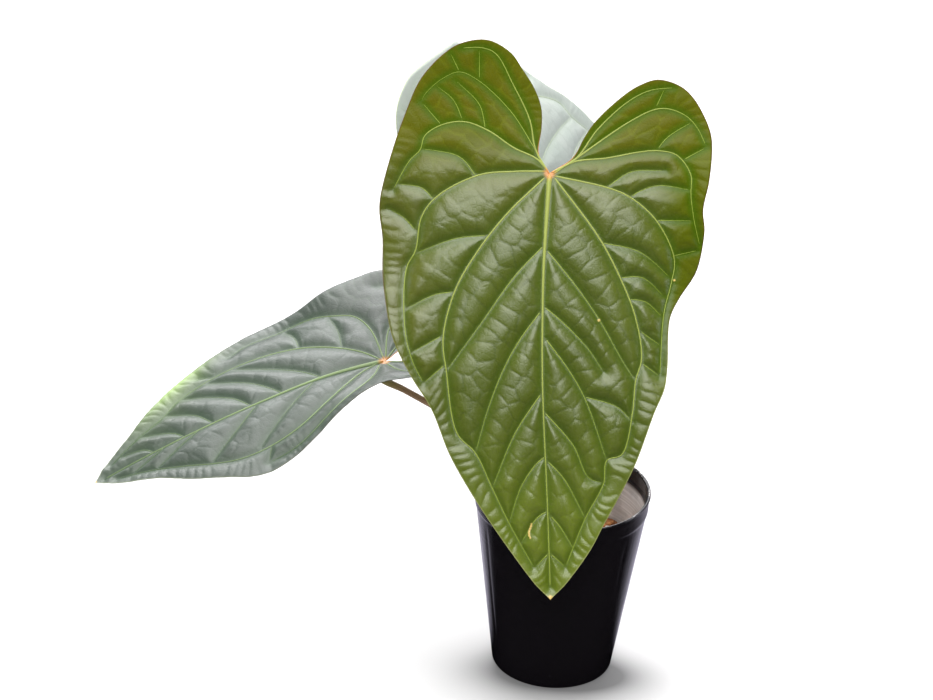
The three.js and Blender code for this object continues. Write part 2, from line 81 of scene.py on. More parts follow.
def worked_out(tree, operation, *values, **settings):
    """A math node's result."""
    return add_node(tree, "Math", dict(enumerate(values)), operation=operation, **settings).outputs[0]


def ramp(tree, value, low, high, from_end=0.0, to_end=1.0):
    """A value's smooth change from one number to another as it passes from low to high."""
    inputs = {"Value": value, "From Min": low, "From Max": high, "To Min": from_end, "To Max": to_end}
    return add_node(tree, "MapRange", inputs, interpolation_type="SMOOTHSTEP").outputs[0]


def blended(tree, share, first, second):
    """Two colours mixed by a share of the second."""
    node = add_node(tree, "Mix", data_type="RGBA")
    for socket, value in (("Factor", share), ("A", first), ("B", second)):
        target = next(s for s in node.inputs if s.name == socket and s.enabled)
        if isinstance(value, bpy.types.NodeSocket):
            tree.links.new(value, target)
        else:
            target.default_value = (*value, 1)
    return next(s for s in node.outputs if s.enabled)


def parts_of(tree, vector):
    """A vector's X, Y and Z."""
    return add_node(tree, "SeparateXYZ", {"Vector": vector}).outputs


def new_material(name, **constants):
    """A material with one Principled shader, whose plain numbers are set on its own sockets."""
    material = bpy.data.materials.new(name)
    material.use_nodes = True
    shader = material.node_tree.nodes["Principled BSDF"]
    for key, value in constants.items():
        shader.inputs[key.replace("_", " ")].default_value = value
    return material, material.node_tree, shader


def floor_finish():
    """White with a painted contact shadow, darker by exp(-reach) near the pot, sooner to front and back.
    What shines sees a floor that is bright only behind the plant, fading out to both sides."""
    material, tree, shader = new_material(
        "floor_paint", Roughness=0.8, Emission_Color=(1, 1, 1, 1), Emission_Strength=FLOOR_GLOW)
    place = add_node(tree, "TexCoord").outputs["Object"]
    squeezed = add_node(tree, "Mapping", {"Vector": place, "Location": SHADE_PLACE, "Scale": SHADE_FALL})
    reach = add_node(tree, "VectorMath", {0: squeezed.outputs[0]}, operation="LENGTH").outputs["Value"]
    near = worked_out(tree, "POWER", math.exp(-1), reach)
    # Painted contact shadow: the floor's colour darkens towards the pot's foot.
    shade = worked_out(tree, "MULTIPLY", near, SHADE_DEPTH, use_clamp=True)
    tree.links.new(blended(tree, shade, FLOOR_WHITE, FLOOR_PAINTED_SHADOW), shader.inputs["Base Color"])
    turn = add_node(tree, "VectorMath", {0: place}, operation="NORMALIZE").outputs[0]
    behind = ramp(tree, parts_of(tree, turn)["Y"], 0.1, 0.85)
    mirrored = add_node(tree, "Emission", {"Color": (*FLOOR_MIRRORED, 1), "Strength": behind})
    shining = add_node(tree, "LightPath").outputs["Is Glossy Ray"]
    mixed = add_node(tree, "MixShader", {0: shining, 1: shader.outputs[0], 2: mirrored.outputs[0]})
    tree.links.new(mixed.outputs[0], tree.nodes["Material Output"].inputs["Surface"])
    return material


floor_mesh = bpy.data.meshes.new("floor")
floor_mesh.from_pydata(
    [(-FLOOR_HALF, -FLOOR_HALF, 0), (FLOOR_HALF, -FLOOR_HALF, 0),
     (FLOOR_HALF, FLOOR_HALF, 0), (-FLOOR_HALF, FLOOR_HALF, 0)], [], [(0, 1, 2, 3)])
floor_mesh.materials.append(floor_finish())
floor = bpy.data.objects.new("floor", floor_mesh)
scene.collection.objects.link(floor)

world = bpy.data.worlds.new("studio")
world.use_nodes = True
ray = add_node(world.node_tree, "LightPath").outputs
room_tone = blended(world.node_tree, ray["Is Glossy Ray"], ROOM_WHITE, ROOM_MIRRORED)
room_tone = blended(world.node_tree, ray["Is Camera Ray"], room_tone, (1, 1, 1))
world.node_tree.links.new(room_tone, world.node_tree.nodes["Background"].inputs["Color"])
scene.world = world
scene.view_settings.view_transform = "Standard"


def unit(vector):
    """A vector's direction."""
    return vector / np.linalg.norm(vector, axis=-1, keepdims=True)


def turned_towards(columns, place):
    """A 4 by 4 placing matrix from its three axis columns and its place."""
    placing = np.eye(4)
    placing[:3, :3] = np.array(columns).T
    placing[:3, 3] = place
    return placing.T.tolist()


for lamp_name, (place, facing, width, height, watts, colour) in LAMPS.items():
    lamp_data = bpy.data.lights.new(lamp_name, "AREA")
    lamp_data.shape = "RECTANGLE"
    lamp_data.size = width
    lamp_data.size_y = height
    lamp_data.energy = watts
    lamp_data.color = colour
    lamp = bpy.data.objects.new(lamp_name, lamp_data)
    scene.collection.objects.link(lamp)
    away = unit(np.subtract(place, facing))
    level = unit(np.cross((0.0, 0.0, 1.0), away))
    lamp.matrix_world = turned_towards((level, np.cross(away, level), away), place)
    lamp.visible_camera = False

CAMERA_TARGET = np.array([-0.070, 0.0, 0.236])
CAMERA_RISE = math.radians(27)
CAMERA_ROLL = math.radians(3)
CAMERA_AWAY = 2.3
CAMERA_SPAN = 0.62
SENSOR_WIDTH = 36
level = np.array([1.0, 0.0, 0.0])
rising = np.array([0.0, math.sin(CAMERA_RISE), math.cos(CAMERA_RISE)])
look = np.array([0.0, math.cos(CAMERA_RISE), -math.sin(CAMERA_RISE)])
right = math.cos(CAMERA_ROLL) * level + math.sin(CAMERA_ROLL) * rising
up = -math.sin(CAMERA_ROLL) * level + math.cos(CAMERA_ROLL) * rising
camera_data = bpy.data.cameras.new("camera")
camera_data.sensor_width = SENSOR_WIDTH
camera_data.sensor_fit = "HORIZONTAL"
camera_data.lens = SENSOR_WIDTH * CAMERA_AWAY / CAMERA_SPAN
camera = bpy.data.objects.new("camera", camera_data)
scene.collection.objects.link(camera)
camera.matrix_world = turned_towards((right, up, -look), CAMERA_TARGET - CAMERA_AWAY * look)
scene.camera = camera

# The pot is a black nursery pot, blown thin from glossy plastic. Its collar steps out and carries
# fine rings, the lip is beaded, and dust and hard water have greyed the wall inside.
MM = 0.001
POT_HEIGHT = 136
RIM_RADIUS = 60
FOOT_RADIUS = 41.5
POT_WALL = 1.2
COLLAR_HEIGHT = POT_HEIGHT / 10
COLLAR_STEP = 0.8
BEAD_HEIGHT = 2.4
FOOT_ROUND = 3
WALL_TOP = POT_HEIGHT - COLLAR_HEIGHT
WALL_TOP_RADIUS = RIM_RADIUS - COLLAR_STEP - 1
MEDIUM_LEVEL = 91
DRAIN_HOLES = 8
DRAIN_RADIUS = 4.5
DRAIN_CIRCLE = FOOT_RADIUS * 0.7
POT_SIDES = 256
RING_PITCH = 1.9
RING_DEPTH = 0.2
# The wall's shallow vertical creases: turn from the front in degrees, width in degrees, depth
WALL_CREASES = [(50, 1.2, 0.35), (23, 2.0, 0.2), (-34, 2.4, 0.18), (-62, 1.8, 0.35), (96, 2, 0.2),
                (140, 3, 0.2), (-118, 2.5, 0.2), (-160, 2, 0.15)]


def skinned(rings):
    """Closed skins over stacks of rings, given as (skins, rings, points round, 3). Quads join each
    ring to the next, and a fan of triangles to its middle closes each end."""
    skins, count, around = rings.shape[:3]
    ends = rings[:, [0, -1]].mean(axis=2)
    points = np.concatenate([rings.reshape(skins, -1, 3), ends], axis=1)
    whole = count * around + 2
    here = np.arange(around)
    after = (here + 1) % around
    row = np.arange(count - 1)[:, None] * around
    quads = np.stack([row + here, row + after, row + around + after, row + around + here], -1)
    top = (count - 1) * around
    fans = np.concatenate([np.stack([0 * here + whole - 2, after, here], -1),
                           np.stack([0 * here + whole - 1, top + here, top + after], -1)])
    start = whole * np.arange(skins)[:, None, None]
    quads = (quads.reshape(1, -1, 4) + start).reshape(-1, 4)
    fans = (fans[None] + start).reshape(-1, 3)
    return points.reshape(-1, 3), quads.tolist() + fans.tolist()


def new_piece(name, points, faces, *finishes):
    """A smooth-shaded object at the origin from points in millimetres."""
    mesh = bpy.data.meshes.new(name)
    mesh.from_pydata((points * MM).tolist(), [], faces)
    mesh.shade_smooth()
    for finish in finishes:
        mesh.materials.append(finish)
    piece = bpy.data.objects.new(name, mesh)
    scene.collection.objects.link(piece)
    return piece


def add_measure(piece, name, values):
    """Keeps one number for each vertex, which the piece's material reads by that name."""
    kept = piece.data.attributes.new(name, "FLOAT", "POINT")
    kept.data.foreach_set("value", np.asarray(values, np.float32))


def measure(tree, name):
    """The piece's own number of that name."""
    return add_node(tree, "Attribute", attribute_name=name).outputs["Fac"]


def times(tree, first, second):
    """Two values multiplied."""
    return worked_out(tree, "MULTIPLY", first, second)


def noise(tree, vector, scale, detail, **more):
    """Cloudy noise on a vector, from 0 to 1."""
    inputs = {"Vector": vector, "Scale": scale, "Detail": detail, **more}
    return add_node(tree, "TexNoise", inputs).outputs["Fac"]


def stretched(tree, vector, scale, **more):
    """A vector scaled by its own share each way."""
    return add_node(tree, "Mapping", {"Vector": vector, "Scale": scale, **more}).outputs[0]


def roughen(tree, shader, relief, strength, distance):
    """Lets a fine relief tilt the shader's normals."""
    bump = add_node(tree, "Bump", {"Height": relief, "Strength": strength, "Distance": distance})
    tree.links.new(bump.outputs[0], shader.inputs["Normal"])


def effect_group(name, inputs, outputs):
    """An empty shader node group with the given input and output sockets, each a name and a kind."""
    group = bpy.data.node_groups.new(name, "ShaderNodeTree")
    for label, kind in inputs:
        group.interface.new_socket(label, in_out="INPUT", socket_type=f"NodeSocket{kind}")
    for label, kind in outputs:
        group.interface.new_socket(label, in_out="OUTPUT", socket_type=f"NodeSocket{kind}")
    return group, group.nodes.new("NodeGroupInput"), group.nodes.new("NodeGroupOutput")


def mottle_group():
    """Two octaves of cloudy noise on a vector, as a mask that is mostly flat between its patches."""
    group, given, result = effect_group(
        "mottle", [("Vector", "Vector"), ("Scale", "Float"), ("Sharpness", "Float")],
        [("Mask", "Float")])
    cloud = noise(group, given.outputs["Vector"], given.outputs["Scale"], 4)
    low = times(group, given.outputs["Sharpness"], 0.45)
    high = worked_out(group, "SUBTRACT", 1, low)
    mask = ramp(group, cloud, low, high)
    group.links.new(mask, result.inputs["Mask"])
    return group


mottle = mottle_group()


def mottled(tree, vector, scale, sharpness):
    """The mottle group's mask on a vector."""
    node = add_node(tree, "Group", node_tree=mottle)
    tree.links.new(vector, node.inputs["Vector"])
    node.inputs["Scale"].default_value = scale
    node.inputs["Sharpness"].default_value = sharpness
    return node.outputs["Mask"]


def pot_profile():
    """Radius and height along the pot's section, from the middle of its foot, up outside, over the
    lip and down inside. The collar's radius has a fine wave in it for its rings."""
    wall_up = np.linspace(FOOT_ROUND, WALL_TOP, 60)
    wall_radius = np.interp(wall_up, (FOOT_ROUND, WALL_TOP), (FOOT_RADIUS, WALL_TOP_RADIUS))
    collar_up = np.linspace(WALL_TOP + 1.6, POT_HEIGHT - BEAD_HEIGHT - 0.6, 56)
    collar_radius = np.interp(collar_up, (WALL_TOP + 1.6, POT_HEIGHT - BEAD_HEIGHT),
                              (WALL_TOP_RADIUS + COLLAR_STEP, RIM_RADIUS - 1))
    collar_radius -= RING_DEPTH * (1 + np.cos(2 * np.pi * (collar_up - WALL_TOP) / RING_PITCH)) / 2
    around = np.linspace(0, np.pi, 13)
    foot = np.linspace(0, np.pi / 2, 7)
    bead = BEAD_HEIGHT / 2
    inner_up = np.linspace(WALL_TOP + 0.6, FOOT_ROUND, 50)
    inner_radius = np.interp(
        inner_up, (FOOT_ROUND, WALL_TOP + 0.6), (FOOT_RADIUS - POT_WALL, WALL_TOP_RADIUS - POT_WALL))
    collar_inside = WALL_TOP_RADIUS + COLLAR_STEP - POT_WALL
    radius = np.concatenate([
        (4, 12, 20, 24, 28, 32, 36), FOOT_RADIUS - FOOT_ROUND + FOOT_ROUND * np.sin(foot), wall_radius[1:],
        (WALL_TOP_RADIUS + COLLAR_STEP * 0.3, WALL_TOP_RADIUS + COLLAR_STEP * 0.8), collar_radius,
        RIM_RADIUS - bead + bead * np.sin(around), (RIM_RADIUS - 2.4,),
        np.linspace(RIM_RADIUS - 2.5, collar_inside, 9), (collar_inside - 1.1,), inner_radius,
        (FOOT_RADIUS - 2, FOOT_RADIUS - 4, 34, 30, 26, 22, 16, 4)])
    height = np.concatenate([
        (0.4, 0.3, 0.2, 0.1, 0.05, 0, 0), FOOT_ROUND * (1 - np.cos(foot)), wall_up[1:],
        (WALL_TOP + 0.4, WALL_TOP + 1.0), collar_up,
        POT_HEIGHT - bead - bead * np.cos(around), (POT_HEIGHT - 1.0,),
        np.linspace(POT_HEIGHT - 1.6, WALL_TOP + 2.6, 9), (WALL_TOP + 1.4,), inner_up,
        (2.0, 1.7, 1.6, 1.6, 1.6, 1.6, 1.6, 1.6)])
    return radius, height


def turned_pot(radius, height, sides):
    """The section turned about Z: x = r cos a, y = r sin a. The wall's radius gives way a little at
    each crease, by its depth times exp(-((a - crease) / width)^2), and nowhere at foot and collar."""
    angle = 2 * np.pi * np.arange(sides) / sides
    give = np.zeros(sides)
    for turn, width, depth in WALL_CREASES:
        apart = np.degrees(angle) - (turn - 90)
        apart = (apart + 180) % 360 - 180
        give += depth * np.exp(-(apart / width) ** 2)
    share = np.clip((height - 8) / 16, 0, 1) * np.clip((WALL_TOP - 2 - height) / 12, 0, 1)
    held = radius[:, None] - share[:, None] * give[None, :]
    rings = np.stack([held * np.cos(angle), held * np.sin(angle), height[:, None] + 0 * held], -1)
    return rings[None]


def drain_plugs():
    """Short round bars in a circle, which the drain holes are cut with."""
    turn = 2 * np.pi * (np.arange(DRAIN_HOLES) + 0.5) / DRAIN_HOLES
    angle = 2 * np.pi * np.arange(24) / 24
    level = np.array([-4.0, 6.0])
    x = DRAIN_CIRCLE * np.cos(turn)[:, None, None] + DRAIN_RADIUS * np.cos(angle) + 0 * level[:, None]
    y = DRAIN_CIRCLE * np.sin(turn)[:, None, None] + DRAIN_RADIUS * np.sin(angle) + 0 * level[:, None]
    return np.stack([x, y, level[:, None] + 0 * x], -1)


def cut_away(piece, points, faces):
    """Cuts a closed shape out of the piece and keeps the result as its mesh."""
    cutter = new_piece("cutter", points, faces)
    cut = piece.modifiers.new("cut", "BOOLEAN")
    cut.object = cutter
    cut.solver = "EXACT"
    bpy.context.view_layer.update()
    result = bpy.data.meshes.new_from_object(piece.evaluated_get(bpy.context.evaluated_depsgraph_get()))
    piece.modifiers.clear()
    piece.data = result
    bpy.data.objects.remove(cutter)


def pot_plastic():
    """Glossy black plastic with faint flow lines. Dust greys it inside, in rings that the water has
    left, and broken pale patches on the lip are a painted highlight where light catches its edge."""
    material, tree, shader = new_material("pot_plastic", Specular_IOR_Level=0.5, IOR=1.5)
    place = add_node(tree, "TexCoord").outputs["Object"]
    dust = measure(tree, "dust")
    streaks = noise(tree, stretched(tree, place, (14, 14, 900)), 1, 3)
    rings = ramp(tree, streaks, 0.35, 0.65)
    patches = mottled(tree, place, 55.0, 0.7)
    film = times(tree, dust, ramp(tree, patches, 0.0, 1.0, 0.75, 1.0))
    dusty = blended(tree, rings, (0.65, 0.66, 0.69), (0.85, 0.86, 0.90))
    speck = ramp(tree, noise(tree, place, 900, 2), 0.70, 0.76)
    black = blended(tree, times(tree, speck, 0.5), (0.005, 0.0042, 0.0055), (0.04, 0.038, 0.037))
    colour = blended(tree, film, black, dusty)
    # Painted highlight: broken pale patches along the top of the lip, where light catches its edge.
    lip_highlight = times(tree, ramp(tree, noise(tree, place, 900, 3), 0.50, 0.58), measure(tree, "lip"))
    lip_highlight = times(tree, lip_highlight, ramp(tree, noise(tree, place, 45, 1), 0.5, 0.56))
    colour = blended(tree, lip_highlight, colour, (0.42, 0.40, 0.39))
    tree.links.new(colour, shader.inputs["Base Color"])
    gloss = ramp(tree, film, 0.0, 1.0, 0.16, 0.42)
    gloss = worked_out(tree, "ADD", gloss, times(tree, patches, 0.06))
    tree.links.new(gloss, shader.inputs["Roughness"])
    lines = noise(tree, stretched(tree, place, (260, 260, 6)), 1, 2)
    roughen(tree, shader, worked_out(tree, "ADD", lines, times(tree, streaks, 0.6)), 0.4, 0.0004)
    return material


pot_radius, pot_height = pot_profile()
pot = new_piece("nursery_pot", *skinned(turned_pot(pot_radius, pot_height, POT_SIDES)), pot_plastic())
cut_away(pot, *skinned(drain_plugs()))
pot_points = np.empty(len(pot.data.vertices) * 3, np.float32)
pot.data.vertices.foreach_get("co", pot_points)
pot_points = pot_points.reshape(-1, 3) / MM
pot_reach = np.hypot(pot_points[:, 0], pot_points[:, 1])
outer_wall = np.interp(pot_points[:, 2], (0, WALL_TOP), (FOOT_RADIUS - 0.5, WALL_TOP_RADIUS))
pot_inside = (pot_reach < outer_wall - 0.7) & (pot_points[:, 2] > 1)
add_measure(pot, "dust", pot_inside * np.clip((WALL_TOP + 1 - pot_points[:, 2]) / 2, 0, 1))
add_measure(pot, "lip", np.clip((pot_points[:, 2] - POT_HEIGHT + 0.6) / 0.4, 0, 1))
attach(pot, "root")
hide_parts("pot")

# The growing medium is a loose orchid mix: chunks of pine bark with white perlite among them, over
# a packed plug of the same that the roots run through. It is only poured in.
BARK_BITS = 300
PERLITE_BITS = 46
BIT_RINGS = 7
BIT_SIDES = 12
PLUG_RINGS = 16
STEM_CLEAR = 11.5


def tumbled_bits(random, centres, sizes, boxiness, roughness):
    """Many closed lumps at once. Each is a rounded box: the direction (cos a cos b, sin a cos b, sin b)
    with each part raised to the power boxiness, its sign kept, stretched to the lump's three sizes,
    pushed in and out by three random waves, turned and moved to its centre. About one in three is
    turned freely, and the rest lie flat and are turned about the upright axis."""
    count = len(centres)
    b = np.linspace(-np.pi / 2, np.pi / 2, BIT_RINGS + 2)[1:-1, None]
    a = 2 * np.pi * np.arange(BIT_SIDES)[None] / BIT_SIDES
    way = np.stack([np.cos(a) * np.cos(b), np.sin(a) * np.cos(b), np.sin(b) + 0 * a], -1)
    shape = (np.sign(way) * np.abs(way) ** boxiness)[None] * sizes[:, None, None, :]
    waves = random.normal(size=(count, 3, 3)) * 3.2
    phase = random.uniform(0, 6.3, (count, 3))
    pushed = np.sin(np.einsum("rsk,nwk->nrsw", way, waves) + phase[:, None, None]).mean(-1)
    shape = shape * (1 + roughness * pushed)[..., None]
    turn, _ = np.linalg.qr(random.normal(size=(count, 3, 3)))
    turn[:, :, 2] = np.cross(turn[:, :, 0], turn[:, :, 1])
    lie = random.uniform(0, 2 * np.pi, count)
    flat = np.zeros((count, 3, 3))
    flat[:, 0, 0] = flat[:, 1, 1] = np.cos(lie)
    flat[:, 0, 1] = -np.sin(lie)
    flat[:, 1, 0] = np.sin(lie)
    flat[:, 2, 2] = 1
    tilt = random.uniform(size=count) < 0.35
    turn = np.where(tilt[:, None, None], turn, flat)
    return np.einsum("nij,nrsj->nrsi", turn, shape) + centres[:, None, None, :]


def scattered(random, count, inner, outer, low, high):
    """Random places spread evenly over a ring seen from above, between two heights."""
    radius = np.sqrt(random.uniform(inner ** 2, outer ** 2, count))
    turn = random.uniform(0, 2 * np.pi, count)
    return np.stack([radius * np.cos(turn), radius * np.sin(turn), random.uniform(low, high, count)], -1)


def medium_plug():
    """A turned plug that fills the pot to the medium's level, its top rough by a product of waves."""
    wall = np.interp(MEDIUM_LEVEL, (FOOT_ROUND, WALL_TOP), (FOOT_RADIUS, WALL_TOP_RADIUS)) - POT_WALL - 0.6
    side = np.linspace(8, MEDIUM_LEVEL, 12)
    side_radius = np.interp(side, (8, MEDIUM_LEVEL), (FOOT_RADIUS - 1.4, wall))
    top_radius = wall * (1 - np.arange(1, PLUG_RINGS) / PLUG_RINGS)
    radius = np.concatenate([(6, 20, FOOT_RADIUS - 6), side_radius, top_radius])
    height = np.concatenate([(2.2, 2.2, 2.2), side, np.full(PLUG_RINGS - 1, MEDIUM_LEVEL)])
    angle = 2 * np.pi * np.arange(72) / 72
    x = radius[:, None] * np.cos(angle)
    y = radius[:, None] * np.sin(angle)
    rough = 1.6 * np.sin(0.31 * x + 2) * np.sin(0.37 * y + 1) * (height[:, None] > MEDIUM_LEVEL - 1)
    return np.stack([x, y, height[:, None] + rough + 0 * x], -1)[None]


def joined(parts):
    """Several meshes' points and faces as one."""
    starts = np.cumsum([0] + [len(points) for points, _ in parts])
    faces = [[corner + start for corner in face] for (_, part), start in zip(parts, starts) for face in part]
    return np.concatenate([points for points, _ in parts]), faces


def bark_finish(dark, light, fleck):
    """Fibrous bark: dark cracks along the grain over a warm brown that differs from chunk to chunk."""
    material, tree, shader = new_material("bark", Specular_IOR_Level=0.3)
    place = add_node(tree, "TexCoord").outputs["Object"]
    grain = stretched(tree, place, (260, 700, 420), Rotation=(0.5, 0.3, 0.8))
    fibres = noise(tree, grain, 1, 5, Distortion=0.6)
    colour = blended(tree, ramp(tree, fibres, 0.38, 0.62), dark, light)
    colour = blended(tree, times(tree, measure(tree, "tone"), 0.85), colour, fleck)
    tree.links.new(colour, shader.inputs["Base Color"])
    tree.links.new(ramp(tree, fibres, 0.3, 0.7, 0.95, 0.7), shader.inputs["Roughness"])
    roughen(tree, shader, fibres, 0.6, 0.0009)
    return material


medium_random = np.random.default_rng(11)
bark_centres = scattered(medium_random, BARK_BITS, STEM_CLEAR, 42, MEDIUM_LEVEL - 3, MEDIUM_LEVEL + 2.5)
bark_sizes = medium_random.uniform((4.5, 2.8, 1.4), (8.5, 5.2, 3.2), (BARK_BITS, 3))
bark_points, bark_faces = skinned(tumbled_bits(medium_random, bark_centres, bark_sizes, 0.5, 0.22))
plug_points, plug_faces = skinned(medium_plug())
bark_tones = np.repeat(medium_random.beta(0.8, 1.6, BARK_BITS), BIT_RINGS * BIT_SIDES + 2)
medium = new_piece("bark_mix", *joined([(bark_points, bark_faces), (plug_points, plug_faces)]),
                   bark_finish((0.26, 0.09, 0.025), (1.0, 0.42, 0.13), (0.20, 0.085, 0.035)))
add_measure(medium, "tone", np.concatenate([bark_tones, np.ones(len(plug_points))]))
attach(medium, "root")
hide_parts("growing_medium")

perlite_centres = scattered(medium_random, PERLITE_BITS, STEM_CLEAR, 46, MEDIUM_LEVEL + 1, MEDIUM_LEVEL + 4)
perlite_sizes = medium_random.uniform((1.6, 1.4, 1.2), (3.0, 2.6, 2.2), (PERLITE_BITS, 3))


def perlite_finish():
    """Chalky white perlite with fine open pores."""
    material, tree, shader = new_material("perlite", Roughness=0.9, Specular_IOR_Level=0.2)
    place = add_node(tree, "TexCoord").outputs["Object"]
    pores = add_node(tree, "TexVoronoi", {"Vector": place, "Scale": 1400}).outputs["Distance"]
    colour = blended(tree, ramp(tree, pores, 0.1, 0.5), (0.55, 0.52, 0.47), (0.85, 0.84, 0.8))
    tree.links.new(colour, shader.inputs["Base Color"])
    roughen(tree, shader, pores, 1, 0.0004)
    return material


perlite_shapes = tumbled_bits(medium_random, perlite_centres, perlite_sizes, 0.8, 0.3)
perlite = new_piece("perlite_bits", *skinned(perlite_shapes), perlite_finish())
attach(perlite, "root")
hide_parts("growing_medium")

# The stem is a short, thick, ringed stump: each ring is the scar of a leaf that has gone. Its cord-like
# roots run down and round inside the pot. Stem and roots grew as one.
STEM_PATH = [(1, 1, 58), (0, 0, 72), (0, 0, 88), (0, 1, 101), (0, 1, 107)]
STEM_RADII = [6, 8.5, 10, 10.5, 7]
STEM_SIDES = 40
ROOT_COUNT = 6
ROOT_RADII = [2.8, 2.6, 2.2, 1.8, 1.4]
SCAR_PITCH = 5.4
TUBE_LEVEL = (0.31, -0.94, 0.12)


def run_along(line):
    """The length along a line up to each of its points."""
    return np.concatenate([[0], np.cumsum(np.linalg.norm(np.diff(line, axis=0), axis=1))])


def smooth_line(points, spacing):
    """A centripetal Catmull-Rom curve through the points, at even steps of about the spacing. Each
    end is led on by the mirror of its neighbour. Returns the places and how far along the given
    points each one lies."""
    given = np.asarray(points, float)
    led = np.concatenate([[2 * given[0] - given[1]], given, [2 * given[-1] - given[-2]]])
    a, b, c, d = led[:-3, None], led[1:-2, None], led[2:-1, None], led[3:, None]
    t = np.linspace(0, 1, 25)[None, :-1, None]
    ab, bc, cd = (np.sqrt(np.linalg.norm(q - p, axis=-1, keepdims=True)) for p, q in ((a, b), (b, c), (c, d)))
    out_of_b = ((b - a) / ab - (c - a) / (ab + bc) + (c - b) / bc) * bc
    into_c = ((c - b) / bc - (d - b) / (bc + cd) + (d - c) / cd) * bc
    fine = (b + out_of_b * t + (3 * (c - b) - 2 * out_of_b - into_c) * t ** 2
            + (2 * (b - c) + out_of_b + into_c) * t ** 3)
    fine = np.concatenate([fine.reshape(-1, given.shape[1]), given[-1:]])
    run = run_along(fine)
    even = np.linspace(0, run[-1], max(2, math.ceil(run[-1] / spacing)) + 1)
    places = np.stack([np.interp(even, run, fine[:, k]) for k in range(given.shape[1])], -1)
    passed = np.interp(even, run, np.linspace(0, len(given) - 1, len(fine)))
    return places, passed


def tube_rings(path, radii, sides, spacing, ripple=None):
    """Rings along a smooth path: each is a circle square to the path, radius (cos a) side + radius
    (sin a) lift. The side is kept level by crossing the path's way with a fixed direction. The
    radius runs from one given radius to the next, times 1 + ripple(distance, angle)."""
    places, passed = smooth_line(path, spacing)
    way = unit(np.gradient(places, axis=0))
    side = unit(np.cross(TUBE_LEVEL, way))
    lift = np.cross(way, side)
    radius = np.interp(passed, np.arange(len(radii)), radii)[:, None]
    angle = 2 * np.pi * np.arange(sides)[None] / sides
    along = run_along(places)[:, None]
    if ripple:
        radius = radius * (1 + ripple(along, angle))
    out = (radius * np.cos(angle))[..., None] * side[:, None]
    rise = (radius * np.sin(angle))[..., None] * lift[:, None]
    return (places[:, None] + (out + rise))[None], along / along[-1]


def scar_ripple(along, angle):
    """A sharp raised ring at each leaf scar, a little slanted, and shallow cork between."""
    phase = (along + 1.2 * np.sin(angle)) / SCAR_PITCH
    ring = np.exp(-((phase - np.round(phase)) * 7) ** 2)
    return 0.07 * ring + 0.02 * np.sin(5 * angle + 2 * phase) * np.sin(3 * angle - along)


def root_ripple(along, angle):
    """Slow swellings along a root."""
    return 0.08 * np.sin(0.45 * along + 2 * np.sin(0.13 * along)) + 0.03 * np.sin(3 * angle + 0.3 * along)


def root_path(k):
    """A root leaves the stem, sinks through the bark and curls round the pot near its wall."""
    turn = 2 * np.pi * k / ROOT_COUNT + 0.3 * (k % 2)
    reach = 31 + 5 * ((k * 3) % 4) / 3
    depth = 16 + 9 * (k % 3)
    stations = [(3, 0, 70), (15, 0.15, 66 - k), (27, 0.35, 52 - k), (reach, 0.8, 34), (reach - 6, 1.3, depth)]
    return [(r * math.cos(turn + swing), r * math.sin(turn + swing), z) for r, swing, z in stations]


def stem_tissue():
    """Corky stem: olive where it is young at the top, brown and cracked below."""
    material, tree, shader = new_material("stem_tissue", Specular_IOR_Level=0.35)
    place = add_node(tree, "TexCoord").outputs["Object"]
    cork = noise(tree, place, 420, 5)
    young = ramp(tree, parts_of(tree, place)["Z"], 0.094, 0.106)
    colour = blended(tree, young, (0.13, 0.075, 0.04), (0.24, 0.22, 0.08))
    colour = blended(tree, ramp(tree, cork, 0.42, 0.6), colour, (0.34, 0.27, 0.17))
    tree.links.new(colour, shader.inputs["Base Color"])
    tree.links.new(ramp(tree, cork, 0.3, 0.7, 0.6, 0.9), shader.inputs["Roughness"])
    roughen(tree, shader, cork, 0.5, 0.0006)
    return material


stem_rings, _ = tube_rings(STEM_PATH, STEM_RADII, STEM_SIDES, 0.6, scar_ripple)
stem_parts = [skinned(stem_rings)]
for k in range(ROOT_COUNT):
    stem_parts.append(skinned(tube_rings(root_path(k), ROOT_RADII, 12, 2.5, root_ripple)[0]))
stem = new_piece("ringed_stem", *joined(stem_parts), stem_tissue())
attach(stem, "root")
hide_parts("stem_and_roots")

# The leaf blades are leathery hearts, quilted between their veins. A plan gives each blade's flat
# outline and veins: u runs across with the face seen and the tip down, v from the sinus to the tip.
# An edge goes from the sinus round its lobe to the tip.
FRONT_LENGTH = 280
LEFT_LENGTH = 213
BACK_LENGTH = 257

